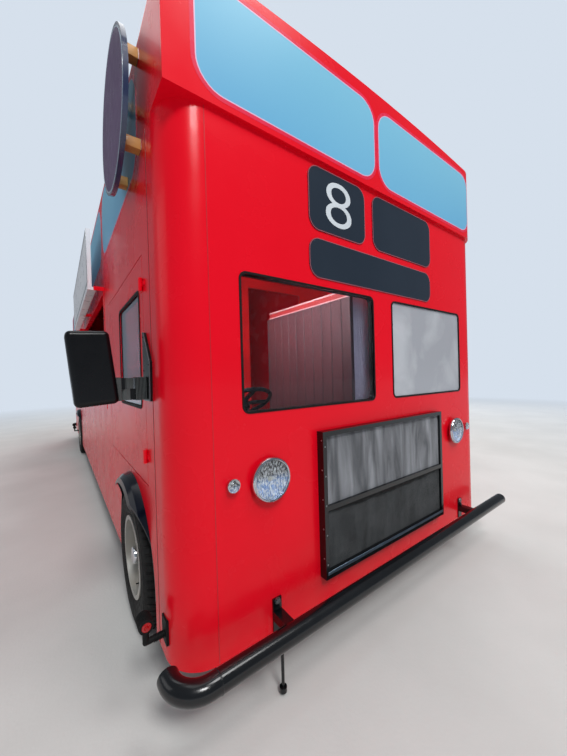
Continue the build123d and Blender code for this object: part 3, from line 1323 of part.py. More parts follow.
write("hatch_frame", hatch_frame())
write("hatch_flap", hatch_flap())
write("serving_counter", serving_counter())
write("counter_leaf", counter_leaf())
write("cab_door_offside", cab_door())
write("cab_door_nearside", other_side(cab_door()))
write("cab_glass_offside", cab_glass())
write("cab_glass_nearside", other_side(cab_glass()))
write("rear_door", rear_door())
write("bulkhead", bulkhead())
write("cab_partition", cab_partition())
write("seat_frame", seat_frame())
write("seat_cushions", seat_cushions())
write("dashboard", dashboard())
write("steering_wheel", steering_wheel())
for axle, distance in (("front", FRONT_AXLE_BACK), ("rear", REAR_AXLE_BACK)):
    write(axle + "_wheel_offside", wheel(back(distance)))
    write(axle + "_tyre_offside", tyre(back(distance)))
    write(axle + "_wheel_nearside", other_side(wheel(back(distance))))
    write(axle + "_tyre_nearside", other_side(tyre(back(distance))))
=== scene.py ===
import math

import bmesh
import bpy
from mathutils import Matrix, Vector, noise


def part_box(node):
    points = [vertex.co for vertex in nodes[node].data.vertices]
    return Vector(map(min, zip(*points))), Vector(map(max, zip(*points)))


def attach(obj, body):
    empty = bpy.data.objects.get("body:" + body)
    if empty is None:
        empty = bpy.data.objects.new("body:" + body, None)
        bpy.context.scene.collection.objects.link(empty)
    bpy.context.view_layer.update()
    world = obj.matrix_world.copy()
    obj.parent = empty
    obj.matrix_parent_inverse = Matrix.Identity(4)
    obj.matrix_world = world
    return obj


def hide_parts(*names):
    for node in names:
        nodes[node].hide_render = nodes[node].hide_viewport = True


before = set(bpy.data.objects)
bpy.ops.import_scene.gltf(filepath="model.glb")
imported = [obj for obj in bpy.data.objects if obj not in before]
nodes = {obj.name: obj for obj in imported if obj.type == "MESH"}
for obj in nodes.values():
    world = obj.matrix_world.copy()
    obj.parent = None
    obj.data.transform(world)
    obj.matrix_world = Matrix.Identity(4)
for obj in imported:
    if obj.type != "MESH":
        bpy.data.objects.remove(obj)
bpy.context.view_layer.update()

# Lengths are in metres. X runs to the nearside, the front faces -Y and Z is up.
COACH = "coachwork"
SIDES = (("offside", -1), ("nearside", 1))
AHEAD = (0, -1, 0)
FRONT_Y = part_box("front_wall")[0].y
UPPER_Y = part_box("upper_front_panel")[0].y
SIDE_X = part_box("front_wall")[1].x
SKIRT_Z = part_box("front_wall")[0].z
DECK_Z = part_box("front_wall")[1].z
CORNER_RADIUS = 0.165
CORNER_X = SIDE_X - CORNER_RADIUS
ROOF_EDGE_X = SIDE_X - 0.1
ROOF_EDGE_Z = 2.95
ROOF_CROWN = 0.04
# How deep a thin piece stands in the surface below it, and how far a film stands proud
SUNK = 0.0010
FILM = 0.0006


# Colours and procedural looks
SHINE = "Specular IOR Level"
ROAD_DUST = (168, 152, 132)
DUST_Z = (0.2, 0.62)


def light(red, green, blue):
    """A colour given as it shows on a screen, 0 to 255, as light values."""
    shares = [part / 255 for part in (red, green, blue)]
    return [s / 12.92 if s <= 0.04045 else ((s + 0.055) / 1.055) ** 2.4 for s in shares] + [1.0]


class Look:
    """One procedural material, built from nodes."""

    def __init__(self, name, sockets=None):
        self.name = name
        self.material = bpy.data.materials.new(name)
        self.material.use_nodes = True
        self.tree = self.material.node_tree
        self.shader = self.tree.nodes["Principled BSDF"]
        self.last_normal = None
        for key, value in (sockets or {}).items():
            self.shader.inputs[key].default_value = value

    def join(self, value, socket):
        """Sets a socket to a value or links it to another node's output."""
        if isinstance(value, bpy.types.NodeSocket):
            self.tree.links.new(value, socket)
        else:
            socket.default_value = value

    def node(self, kind, inputs=None, **settings):
        made = self.tree.nodes.new(kind)
        for key, value in settings.items():
            setattr(made, key, value)
        for key, value in (inputs or {}).items():
            self.join(value, made.inputs[key])
        return made

    def place(self, stretch=(1, 1, 1)):
        """Object coordinates, which are the frame's own at rest."""
        coordinate = self.node("ShaderNodeTexCoord")
        inputs = {"Vector": coordinate.outputs["Object"], "Scale": stretch}
        return self.node("ShaderNodeMapping", inputs).outputs["Vector"]

    def axis(self, letter):
        parts = self.node("ShaderNodeSeparateXYZ", {"Vector": self.place()})
        return parts.outputs[letter]

    def noise(self, scale, detail=4.0, stretch=(1, 1, 1), distortion=0.0):
        inputs = {"Vector": self.place(stretch), "Scale": scale, "Detail": detail,
                  "Distortion": distortion}
        return self.node("ShaderNodeTexNoise", inputs).outputs["Fac"]

    def bands(self, scale, direction):
        inputs = {"Vector": self.place(), "Scale": scale, "Distortion": 0.0, "Detail": 0.0}
        made = self.node("ShaderNodeTexWave", inputs, wave_type="BANDS", bands_direction=direction)
        return made.outputs["Fac"]

    def fit(self, value, low, high, new_low=0.0, new_high=1.0):
        """Maps a range of a value onto another one, held at its ends."""
        inputs = {"Value": value, "From Min": low, "From Max": high, "To Min": new_low,
                  "To Max": new_high}
        return self.node("ShaderNodeMapRange", inputs).outputs["Result"]

    def maths(self, operation, *values):
        made = self.node("ShaderNodeMath", dict(enumerate(values)), operation=operation)
        return made.outputs[0]

    def mix(self, share, first, second):
        made = self.node("ShaderNodeMix", {0: share, 6: first, 7: second}, data_type="RGBA")
        return made.outputs[2]

    def blend(self, share, first, second):
        """Mixes two screen colours."""
        return self.mix(share, light(*first), light(*second))

    def colour(self, value):
        self.join(value, self.shader.inputs["Base Color"])

    def gloss(self, scale, low, high):
        """Roughness that drifts between two values."""
        self.join(self.fit(self.noise(scale), 0.3, 0.7, low, high), self.shader.inputs["Roughness"])

    def bump(self, height, distance):
        inputs = {"Height": height, "Distance": distance, "Strength": 1.0}
        if self.last_normal is not None:
            inputs["Normal"] = self.last_normal
        self.last_normal = self.node("ShaderNodeBump", inputs).outputs["Normal"]
        self.join(self.last_normal, self.shader.inputs["Normal"])

    def weave(self, scale, depth):
        """Threads that cross each other."""
        self.bump(self.bands(scale, "X"), depth)
        self.bump(self.bands(scale, "Z"), depth)


def finish(name, colour, other, rough, patch=3.0, grain=240.0, grain_depth=0.0001, sockets=None,
           dust=0.0):
    """Colour in soft patches, uneven gloss, a fine grain and dust near the ground."""
    look = Look(name, sockets)
    shade = look.blend(look.fit(look.noise(patch), 0.35, 0.65), colour, other)
    if dust:
        low = look.fit(look.axis("Z"), *DUST_Z, dust, 0.0)
        speckle = look.fit(look.noise(9.0, 6.0), 0.35, 0.7)
        shade = look.mix(look.maths("MULTIPLY", low, speckle), shade, light(*ROAD_DUST))
    look.colour(shade)
    look.gloss(patch * 5, *rough)
    look.bump(look.noise(grain, 2.0), grain_depth)
    return look


def red_paint():
    look = finish("red_paint", (229, 7, 32), (221, 5, 27), (0.22, 0.3), patch=0.8, grain=180.0,
                  grain_depth=0.00003, dust=0.05,
                  sockets={"Coat Weight": 0.08, "Coat Roughness": 0.06, SHINE: 0.14})
    look.bump(look.noise(1.6, 2.0), 0.004)
    return look


def painted_sky():
    """Sky blue film of the painted windows, paler towards the top."""
    look = Look("painted_sky", {SHINE: 0.15})
    rise = look.fit(look.axis("Z"), 2.4, 2.95)
    lower = look.blend(look.fit(look.noise(0.9, 2.0), 0.3, 0.7), (100, 166, 203), (110, 173, 206))
    look.colour(look.mix(rise, lower, light(123, 184, 208)))
    look.gloss(1.5, 0.3, 0.34)
    return look


def grille_cloth():
    """Grey woven cloth with pale vertical streaks and stains, darker below the middle bar."""
    look = Look("grille_cloth", {"Sheen Weight": 0.08, "Sheen Roughness": 0.5, SHINE: 0.2})
    streaks = look.noise(5.0, 5.0, stretch=(2.2, 1, 0.35), distortion=0.6)
    streak = look.fit(streaks, 0.38, 0.66)
    stain = look.fit(look.noise(7.0, 6.0), 0.45, 0.75)
    high = look.fit(look.axis("Z"), 0.67, 0.7)
    pale = look.blend(streak, (88, 90, 94), (154, 156, 161))
    dark = look.blend(streak, (32, 35, 37), (52, 55, 57))
    shade = look.mix(high, dark, pale)
    look.colour(look.mix(look.maths("MULTIPLY", stain, 0.1), shade, light(150, 150, 152)))
    look.gloss(40.0, 0.72, 0.9)
    look.weave(330.0, 0.0003)
    return look


def woven(name, colour, other):
    """Plain upholstery or curtain cloth."""
    look = Look(name, {"Sheen Weight": 0.3, "Sheen Roughness": 0.5})
    look.colour(look.blend(look.fit(look.noise(30.0, 5.0), 0.35, 0.65), colour, other))
    look.gloss(60.0, 0.75, 0.92)
    look.weave(260.0, 0.00035)
    return look


def wood(name, colour, other, stretch):
    """Board with a grain that runs along the axis that stretch makes slow."""
    look = Look(name, {"Coat Weight": 0.1})
    rings = look.noise(14.0, 6.0, stretch=stretch, distortion=1.2)
    look.colour(look.blend(look.fit(rings, 0.35, 0.65), colour, other))
    look.gloss(30.0, 0.45, 0.6)
    look.bump(look.noise(60.0, 5.0, stretch=stretch), 0.0004)
    return look


def planks(name, colour, other, dark):
    """Upright boards with dark grooves between them, side by side along Y."""
    look = wood(name, colour, other, (1, 1, 0.1))
    groove = look.fit(look.bands(3.65, "Y"), 0.0, 0.05)
    boards = look.blend(look.fit(look.noise(5.0, 1.0, stretch=(0, 1, 0)), 0.4, 0.6), colour, other)
    look.colour(look.mix(groove, light(*dark), boards))
    look.bump(groove, 0.004)
    return look


def glass(name, colour, roughness, transmission, specks=0.0, bend=1.46):
    look = Look(name, {"Transmission Weight": transmission, "IOR": bend})
    smear = look.fit(look.noise(3.0, 5.0, distortion=0.5), 0.45, 0.8)
    look.colour(look.blend(look.maths("MULTIPLY", smear, specks), colour, (214, 216, 220)))
    look.gloss(8.0, roughness, roughness + 0.03)
    return look


def reflector():
    """Bright metal bowl of a headlamp with a painted reflection that darkens upwards: sky blue
    below, a dark brownish reflection above, and painted glints all over.
    """
    look = Look("reflector_bowl", {"Metallic": 0.35})
    rise = look.fit(look.axis("Z"), 0.895, 0.925)
    # Painted glints: bright specks of reflected light across the bowl.
    glint_noise = look.noise(105.0, 4.0, stretch=(1.3, 1, 0.8), distortion=0.3)
    painted_glint = look.fit(glint_noise, 0.42, 0.6)
    # Painted reflection: sky blue with glints in the lower half, a darker brownish reflection with
    # glints in the upper half.
    low = look.blend(painted_glint, (156, 182, 226), (252, 253, 255))
    high = look.blend(painted_glint, (84, 80, 76), (224, 224, 222))
    look.colour(look.mix(rise, low, high))
    look.gloss(40.0, 0.16, 0.3)
    look.bump(look.bands(28.0, "X"), 0.003)
    look.bump(look.noise(70.0, 2.0), 0.0015)
    return look


def rubber(name, colour, other, rough=(0.55, 0.75), depth=0.00015):
    return finish(name, colour, other, rough, patch=9.0, grain=420.0, grain_depth=depth,
                  sockets={SHINE: 0.22})


def metal(name, colour, other, rough, depth=0.00003):
    return finish(name, colour, other, rough, patch=7.0, grain=300.0, grain_depth=depth,
                  sockets={"Metallic": 1.0})


ENAMEL = {"Coat Weight": 0.6, "Coat Roughness": 0.06}
LOOKS = {look.name: look for look in (
    red_paint(),
    finish("red_lining", (214, 26, 30), (198, 20, 24), (0.35, 0.5)),
    finish("black_paint", (10, 11, 13), (15, 17, 20), (0.14, 0.26), grain=150.0,
           grain_depth=0.00008, sockets={SHINE: 0.5}),
    finish("black_plastic", (6, 7, 9), (9, 10, 13), (0.24, 0.32), grain=500.0,
           grain_depth=0.00003, sockets={SHINE: 0.25}),
    glass("clear_glass", (196, 200, 208), 0.01, 1.0, bend=1.2),
    glass("tinted_glass", (118, 130, 152), 0.01, 1.0, bend=1.5),
    glass("frosted_glass", (168, 170, 176), 0.24, 0.12, specks=0.7),
    glass("lamp_glass", (244, 247, 250), 0.02, 1.0, bend=1.16),
    rubber("seal_rubber", (9, 10, 11), (18, 19, 20)),
    rubber("edge_grey", (92, 95, 100), (78, 81, 86)),
    # Near black as painted shade: the shaded inside of the bumper tubes and the shade under the
    # grille's middle bar.
    rubber("painted_shade_black", (3, 3, 4), (6, 6, 7)),
    rubber("sleeve_rubber", (92, 96, 96), (74, 78, 78)),
    rubber("tyre", (15, 15, 16), (30, 30, 29), (0.6, 0.8), 0.0004),
    finish("sign_charcoal", (40, 49, 60), (35, 44, 55), (0.3, 0.38), patch=1.0,
           grain_depth=0.00002, sockets={SHINE: 0.14}),
    finish("sign_blue", (34, 48, 86), (26, 38, 72), (0.2, 0.3), sockets=ENAMEL),
    finish("sign_pale", (168, 190, 206), (158, 180, 198), (0.16, 0.24), sockets=ENAMEL),
    finish("sign_plum", (86, 50, 96), (76, 42, 86), (0.26, 0.34), sockets={SHINE: 0.2}),
    finish("number_white", (206, 212, 216), (196, 203, 208), (0.25, 0.35)),
    painted_sky(),
    finish("pink_band", (222, 46, 78), (216, 40, 68), (0.24, 0.32), sockets={SHINE: 0.15}),
    finish("pale_line", (214, 176, 204), (206, 166, 196), (0.3, 0.4)),
    finish("rose_line", (158, 84, 96), (148, 76, 88), (0.35, 0.45)),
    finish("seam_dark", (140, 8, 20), (120, 6, 16), (0.3, 0.45)),
    finish("seam_front", (200, 5, 25), (192, 5, 23), (0.3, 0.4)),
    finish("mudguard_gloss", (8, 13, 26), (6, 9, 18), (0.1, 0.18), sockets={SHINE: 0.3}),
    finish("red_lens", (206, 16, 22), (186, 10, 16), (0.08, 0.14), patch=30.0,
           sockets={"Transmission Weight": 0.35, "Coat Weight": 0.5}),
    finish("bulb", (206, 202, 192), (196, 190, 178), (0.1, 0.2), sockets={"Coat Weight": 0.3}),
    reflector(),
    metal("chrome", (216, 218, 222), (196, 199, 205), (0.06, 0.14)),
    metal("steel_zinc", (168, 170, 172), (140, 142, 144), (0.25, 0.45)),
    metal("steel_blue", (120, 138, 156), (88, 104, 122), (0.34, 0.5)),
    metal("aluminium", (196, 198, 200), (178, 180, 183), (0.28, 0.42)),
    metal("mirror_glass", (226, 230, 234), (222, 226, 230), (0.01, 0.02), 0.0),
    finish("wheel_silver", (190, 190, 186), (150, 148, 142), (0.34, 0.46), dust=0.5,
           sockets={"Metallic": 0.35}),
    finish("chassis_black", (30, 31, 33), (46, 44, 42), (0.5, 0.7), dust=0.5),
    finish("cast_parts", (74, 74, 76), (96, 92, 88), (0.55, 0.75), grain=160.0,
           grain_depth=0.0006, dust=0.3),
    finish("flap_white", (232, 233, 236), (222, 224, 229), (0.25, 0.4)),
    finish("rail_white", (186, 150, 150), (176, 140, 142), (0.25, 0.35)),
    finish("rail_red", (150, 44, 42), (140, 38, 38), (0.3, 0.4)),
    wood("floor_board", (112, 94, 74), (88, 72, 56), (1, 0.12, 1)),
    wood("counter_board", (186, 152, 112), (160, 126, 88), (1, 0.12, 1)),
    wood("block_wood", (206, 156, 84), (184, 132, 66), (0.2, 1, 1)),
    planks("bulkhead_board", (76, 43, 46), (67, 38, 41), (44, 26, 28)),
    grille_cloth(),
    woven("seat_fabric", (62, 64, 70), (46, 48, 54)),
    # Curtain paler than its own light grey: painted light that stands in for the light the
    # windscreen keeps out.
    woven("curtain_cloth_painted_light", (238, 228, 240), (226, 216, 230)),
)}
NODE_LOOKS = {"mudguards": "mudguard_gloss", "roof_panel": "red_paint",
              "cab_glass_offside": "tinted_glass", "cab_glass_nearside": "tinted_glass"}


def dress_frame():
    """Gives each carried-over node its procedural look, slot by slot."""
    for name, node in nodes.items():
        for slot in node.material_slots:
            key = NODE_LOOKS.get(name) or slot.material.name.split(".")[0]
            slot.material = LOOKS[key].material


# Mesh code
def show(name, data):
    """Puts an object with this data in the scene."""
    made = bpy.data.objects.new(name, data)
    bpy.context.scene.collection.objects.link(made)
    return made


class Shell:
    """Points and faces of one piece, each face with the number of its look."""

    def __init__(self):
        self.points = []
        self.faces = []
        self.marks = []

    def add(self, part, mark=0):
        points, faces = part
        start = len(self.points)
        self.points += [tuple(point) for point in points]
        self.faces += [tuple(start + index for index in face) for face in faces]
        self.marks += [mark] * len(faces)

    def piece(self, name, body, looks, slot, smooth=38):
        """Makes the object, which rides on a body and takes its finish from its looks; the slot
        argument is not used.
        """
        mesh = bpy.data.meshes.new(name)
        mesh.from_pydata(self.points, [], self.faces)
        for look in looks:
            mesh.materials.append(LOOKS[look].material)
        mesh.polygons.foreach_set("material_index", self.marks)
        bm = bmesh.new()
        bm.from_mesh(mesh)
        bmesh.ops.recalc_face_normals(bm, faces=bm.faces)
        bm.to_mesh(mesh)
        bm.free()
        mesh.shade_smooth()
        mesh.set_sharp_from_angle(angle=math.radians(smooth))
        obj = show(name, mesh)
        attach(obj, body)
        return obj


def from_bmesh(bm):
    bm.verts.index_update()
    part = ([v.co.copy() for v in bm.verts], [[v.index for v in f.verts] for f in bm.faces])
    bm.free()
    return part


def strip(a, b, count):
    """Faces between two closed rings of points, which start at a and at b."""
    return [(a + i, a + (i + 1) % count, b + (i + 1) % count, b + i) for i in range(count)]


def bar(points, count):
    """Closed bar with flat ends through rings of so many points."""
    faces = []
    for start in range(0, len(points) - count, count):
        faces += strip(start, start + count, count)
    return points, faces + [tuple(range(count)), tuple(range(len(points) - count, len(points)))]


def soft_block(low, high, radius, steps=2):
    """Box between two corners with rounded edges."""
    bm = bmesh.new()
    bmesh.ops.create_cube(bm, size=1)
    low, high = Vector(map(min, low, high)), Vector(map(max, low, high))
    for vertex in bm.verts:
        vertex.co = Vector(c * s for c, s in zip(vertex.co, high - low)) + (low + high) / 2
    bmesh.ops.bevel(bm, geom=bm.edges[:], offset=radius, segments=steps, profile=0.5,
                    affect="EDGES")
    return from_bmesh(bm)


def turned(outline, centre, axis, steps=24):
    """Form turned about an axis, from (distance along it, radius) points."""
    axis = Vector(axis).normalized()
    across = axis.orthogonal().normalized()
    up = axis.cross(across)
    points, rows = [], []
    for along, radius in outline:
        ring = 1 if radius < 1e-6 else steps
        rows.append((len(points), ring))
        for step in range(ring):
            angle = 2 * math.pi * step / steps
            spoke = (across * math.cos(angle) + up * math.sin(angle)) * radius
            points.append(Vector(centre) + axis * along + spoke)
    faces = []
    for (a, count_a), (b, count_b) in zip(rows, rows[1:] + rows[:1]):
        for step in range(steps):
            after = (step + 1) % steps
            face = [a + step % count_a, a + after % count_a, b + after % count_b,
                    b + step % count_b]
            face = list(dict.fromkeys(face))
            if len(face) > 2:
                faces.append(face)
    return points, faces


def tube(path, radius, sides=12):
    """Round bar along a line of points, with flat ends."""
    path = [Vector(point) for point in path]
    points = []
    across = (path[1] - path[0]).orthogonal().normalized()
    for index, point in enumerate(path):
        ahead = path[min(index + 1, len(path) - 1)] - path[max(index - 1, 0)]
        across = (across - ahead.normalized() * across.dot(ahead.normalized())).normalized()
        up = ahead.normalized().cross(across)
        for step in range(sides):
            angle = 2 * math.pi * step / sides
            points.append(point + (across * math.cos(angle) + up * math.sin(angle)) * radius)
    return bar(points, sides)


def dome(centre, axis, radius, height):
    """Small round head, such as a rivet's or a screw's."""
    outline = [(-SUNK, 0), (-SUNK, radius), (height * 0.35, radius * 0.92),
               (height * 0.8, radius * 0.55), (height, 0)]
    return turned(outline, centre, axis, 10)


def disc(radius):
    """Outline of a round film."""
    return [(-SUNK, 0), (-SUNK, radius), (FILM, radius), (FILM, 0)]


def hexagon(centre, axis, radius, height):
    """Bolt head on a washer."""
    washer = [(-SUNK, 0), (-SUNK, radius * 1.45), (height * 0.25, radius * 1.45),
              (height * 0.25, 0)]
    head = [(0, 0), (0, radius), (height * 0.85, radius), (height, radius * 0.8), (height, 0)]
    both = Shell()
    both.add(turned(washer, centre, axis, 20))
    both.add(turned(head, centre, axis, 6))
    return both.points, both.faces


def rounded(width, height, radius):
    """Outline of a rounded rectangle round its middle, anticlockwise."""
    steps = 8
    outline = []
    for number, (right, up) in enumerate(((1, 1), (-1, 1), (-1, -1), (1, -1))):
        for step in range(steps + 1):
            angle = math.pi / 2 * (number + step / steps)
            outline.append((right * (width / 2 - radius) + radius * math.cos(angle),
                            up * (height / 2 - radius) + radius * math.sin(angle)))
    return outline


def grown(width, height, radius, by):
    """Outline of a rounded rectangle that has grown by as much on each side."""
    return rounded(width + 2 * by, height + 2 * by, radius + by)


def band(outer, inner, place, near=-SUNK, far=FILM):
    """Flat ring between two outlines of as many points."""
    lines = ((outer, near), (outer, far), (inner, far), (inner, near))
    points = [place(u, v, out) for line, out in lines for u, v in line]
    faces = []
    for loop in range(4):
        faces += strip(loop * len(outer), (loop + 1) % 4 * len(outer), len(outer))
    return points, faces


def frame_band(width, height, radius, thick, place, far=FILM):
    """Ring of even width just outside a rounded rectangle."""
    outer = grown(width, height, radius, thick)
    return band(outer, rounded(width, height, radius), place, far=far)


def film(width, height, radius, place, far=FILM):
    """Thin rounded sheet in upright strips, so that it follows a curved wall."""
    columns, steps = 20, 8
    turn = [radius * (1 - math.cos(math.pi / 2 * step / steps)) for step in range(steps + 1)]
    left = [-width / 2 + inset for inset in turn]
    middle = [left[-1] + (width - 2 * radius) * step / columns for step in range(1, columns)]
    points = []
    for u in left + middle + [-u for u in reversed(left)]:
        beyond = max(abs(u) - (width / 2 - radius), 0)
        reach = height / 2 - radius + math.sqrt(max(radius ** 2 - beyond ** 2, 0))
        points += [place(u, -reach, -SUNK), place(u, reach, -SUNK), place(u, reach, far),
                   place(u, -reach, far)]
    return bar(points, 4)


def cloth_sheet(columns, rows, place, thick=0.0012):
    """Closed thin sheet over a grid; place gives a point from shares across and up."""
    points, faces = [], []
    for out in (0, thick):
        for row in range(rows + 1):
            points += [place(column / columns, row / rows, out) for column in range(columns + 1)]
    across = columns + 1
    layer = across * (rows + 1)
    for row in range(rows):
        for column in range(columns):
            a = row * across + column
            faces.append((a, a + 1, a + 1 + across, a + across))
            faces.append(tuple(layer + i for i in (a + across, a + 1 + across, a + 1, a)))
    rim = list(range(across)) + [across * (row + 1) + columns for row in range(rows)]
    rim += [rows * across + column for column in range(columns - 1, -1, -1)]
    rim += [row * across for row in range(rows - 1, 0, -1)]
    for a, b in zip(rim, rim[1:] + rim[:1]):
        faces.append((a, b, layer + b, layer + a))
    return points, faces


# Places on the walls: u runs across, v up and out away from the wall
def front_skin(x, face):
    """Y of the front, which turns back round the nearside corner."""
    over = x - CORNER_X
    if over <= 0:
        return face
    return face + CORNER_RADIUS - math.sqrt(max(CORNER_RADIUS ** 2 - over ** 2, 0))


def on_front(x, z, face, end=1):
    """Place on the front, or with end -1 on the rear."""
    return lambda u, v, out: (x + u, end * (front_skin(x + u, face) - out), z + v)


def on_side(side, y, z):
    return lambda u, v, out: (side * (SIDE_X + out), y + u, z + v)


# Painted windows of the upper deck
ENDS = (("front", 1), ("rear", -1))
PAINT_LINE = 0.005
PAINT_BAND = 0.0175
FRONT_WINDOWS = ((-1.122, -0.062), (-0.015, 1.12))
FRONT_WINDOW_Z = (2.468, 2.90)
FRONT_WINDOW_CORNER = 0.11
SIDE_WINDOW_START = 0.417
SIDE_WINDOW_LENGTH = 1.34
SIDE_WINDOW_GAP = 0.1
SIDE_WINDOW_COUNT = 5
SIDE_WINDOW_Z = (2.36, 2.83)
SIDE_WINDOW_CORNER = 0.15


def painted_window(shell, width, height, corner, place):
    """Blue film with a pale line and a paler red band round it."""
    shell.add(film(width, height, corner, place), 0)
    shell.add(frame_band(width, height, corner, PAINT_LINE, place, far=1.3 * FILM), 1)
    width, height = width + 2 * PAINT_LINE, height + 2 * PAINT_LINE
    shell.add(frame_band(width, height, corner + PAINT_LINE, PAINT_BAND, place), 2)


def painted_windows():
    """Painted windows of the front, of the rear and of both sides."""
    looks = ("painted_sky", "pale_line", "pink_band")
    z0, z1 = FRONT_WINDOW_Z
    for name, end in ENDS:
        shell = Shell()
        for x0, x1 in FRONT_WINDOWS:
            place = on_front((x0 + x1) / 2, (z0 + z1) / 2, UPPER_Y, end)
            painted_window(shell, x1 - x0, z1 - z0, FRONT_WINDOW_CORNER, place)
        shell.piece(f"painted_windows_{name}", COACH, looks, "red_paint")
    z0, z1 = SIDE_WINDOW_Z
    first = FRONT_Y + SIDE_WINDOW_START + SIDE_WINDOW_LENGTH / 2
    for name, side in SIDES:
        shell = Shell()
        for index in range(SIDE_WINDOW_COUNT):
            y = first + index * (SIDE_WINDOW_LENGTH + SIDE_WINDOW_GAP)
            place = on_side(side, y, (z0 + z1) / 2)
            painted_window(shell, SIDE_WINDOW_LENGTH, z1 - z0, SIDE_WINDOW_CORNER, place)
        shell.piece(f"painted_windows_{name}", COACH, looks, "red_paint")


# Sign boards, each by X, Z, width and height, with a plain number on the first
SIGN_FACE = 0.004
SIGN_LINE = 0.004
SIGN_CORNER = 0.065
SIGN_BOARDS = ((-0.352, 2.239, 0.422, 0.321), (0.244, 2.239, 0.632, 0.321),
               (-0.008, 1.939, 1.116, 0.200))
NUMBER_PLACE = (-0.352, 2.243)
NUMBER_SIZE = (0.192, 0.233)
NUMBER_THINNED = -0.012


def sign_outlines():
    """Thin rose line round the face of each board."""
    shell = Shell()
    for x, z, width, height in SIGN_BOARDS:
        place = on_front(x, z, FRONT_Y - SIGN_FACE)
        shell.add(frame_band(width - 2 * SIGN_LINE, height - 2 * SIGN_LINE,
                             SIGN_CORNER - SIGN_LINE, SIGN_LINE, place))
    shell.piece("sign_outlines", COACH, ["rose_line"], "sign_charcoal")


def route_number():
    """Plain digit on the number board."""
    text = bpy.data.curves.new("route_number", "FONT")
    text.body = "8"
    text.extrude = FILM
    text.offset = NUMBER_THINNED
    text.align_x = "CENTER"
    text.align_y = "CENTER"
    text.materials.append(LOOKS["number_white"].material)
    digit = show("route_number_text", text)
    bpy.context.view_layer.update()
    mesh = bpy.data.meshes.new_from_object(digit)
    bpy.data.objects.remove(digit)
    low, high = ([end(vertex.co[axis] for vertex in mesh.vertices) for axis in (0, 1)]
                 for end in (min, max))
    place = on_front(*NUMBER_PLACE, FRONT_Y - SIGN_FACE)
    for vertex in mesh.vertices:
        u, v = (size * ((vertex.co[axis] - low[axis]) / (high[axis] - low[axis]) - 0.5)
                for axis, size in enumerate(NUMBER_SIZE))
        vertex.co = place(u, v, vertex.co.z)
    piece = show("route_number", mesh)
    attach(piece, COACH)


# Grille: stretched cloths, rivets, a steel lip and the hem over the middle bar, coloured as painted
# shade
GRILLE_LOW, GRILLE_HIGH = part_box("grille_frame")
GRILLE_BAR = 0.024
GRILLE_MID = 0.698
GRILLE_MID_HALF = 0.012
GRILLE_RIVETS = 5
RIVET_RADIUS = 0.0045
SIDE_RIVET_RISE = 0.03
LIP_OUT, LIP_IN = 0.0015, 0.002
LIP_Z = (0.020, 0.036)
CLOTH_LOW, CLOTH_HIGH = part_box("grille_cloths")
CLOTH_GRID = (110, 30)
CLOTH_SMOOTH = 80
FOLD_DEPTH = 0.007
HEM_GRID = (60, 4)
HEM_THICK = 0.002
HEM_BACK = 0.006
HEM_BULGE = 0.004
HEM_DROP = 0.009
HEM_SAG = 0.012
HEM_WAVE = 0.016


def cloth_fold(u, v, seed):
    """How far the cloth stands back or out at a share across and up."""
    rest = min(1.0, 6 * min(v, 1 - v)) * min(1.0, 10 * min(u, 1 - u))
    folds = noise.noise(Vector((9 * u, 0.8 * v, seed)))
    small = noise.noise(Vector((30 * u, 4 * v, seed + 5)))
    return rest * FOLD_DEPTH * (folds + 0.35 * small)


def grille_cloths():
    """Two cloths stretched in the grille, below and above its middle bar."""
    width = CLOTH_HIGH.x - CLOTH_LOW.x
    middle_y = (CLOTH_LOW.y + CLOTH_HIGH.y) / 2
    for name, z0, z1, seed in (("lower", CLOTH_LOW.z, GRILLE_MID - GRILLE_MID_HALF, 3.0),
                               ("upper", GRILLE_MID + GRILLE_MID_HALF, CLOTH_HIGH.z, 11.0)):
        def place(u, v, out):
            y = middle_y - out - cloth_fold(u, v, seed)
            return (CLOTH_LOW.x + width * u, y, z0 + (z1 - z0) * v)

        shell = Shell()
        shell.add(cloth_sheet(*CLOTH_GRID, place))
        cloth = shell.piece(f"grille_cloth_{name}", COACH, ["grille_cloth"], "grille_cloth",
                            CLOTH_SMOOTH)
        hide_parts("grille_cloths")


def grille_trim():
    """Rivets of the frame, its steel lip and a sagging hem under the middle bar, coloured near
    black as painted shade.
    """
    rivets = Shell()
    face = GRILLE_LOW.y
    inset = GRILLE_BAR / 2
    for index in range(GRILLE_RIVETS):
        z = GRILLE_LOW.z + (GRILLE_HIGH.z - GRILLE_LOW.z) * (index + 0.5) / GRILLE_RIVETS
        rivets.add(dome((GRILLE_LOW.x + inset, face, z), AHEAD, RIVET_RADIUS, 0.0022), 0)
        for x, side in ((GRILLE_LOW.x, -1), (GRILLE_HIGH.x, 1)):
            place = (x, face + inset, z + SIDE_RIVET_RISE)
            rivets.add(dome(place, (side, 0, 0), RIVET_RADIUS, 0.002), 0)
    low = (GRILLE_LOW.x + inset, face - LIP_OUT, GRILLE_LOW.z + LIP_Z[0])
    high = (GRILLE_HIGH.x - inset, face + LIP_IN, GRILLE_LOW.z + LIP_Z[1])
    rivets.add(soft_block(low, high, 0.0006, 1), 1)
    rivets.piece("grille_rivets", COACH, ["steel_zinc", "steel_blue"], "chrome")
    # Painted shade: the cloth hem is coloured near black and hangs with a ragged lower edge where
    # shade falls under the middle bar.
    hem = Shell()
    left, width = GRILLE_LOW.x + GRILLE_BAR, CLOTH_HIGH.x - CLOTH_LOW.x
    top = GRILLE_MID - GRILLE_MID_HALF + 0.004

    def place_hem(u, v, out):
        sag = HEM_SAG * (4 * u * (1 - u)) + HEM_WAVE * abs(noise.noise(Vector((7 * u, 3.1, 0))))
        y = face + HEM_BACK - out - HEM_BULGE * math.sin(math.pi * v)
        return (left + width * u, y, top - (HEM_DROP + sag) * (1 - v))

    hem.add(cloth_sheet(*HEM_GRID, place_hem, HEM_THICK))
    hem.piece("grille_hem", COACH, ["painted_shade_black"], "seal_rubber", CLOTH_SMOOTH)


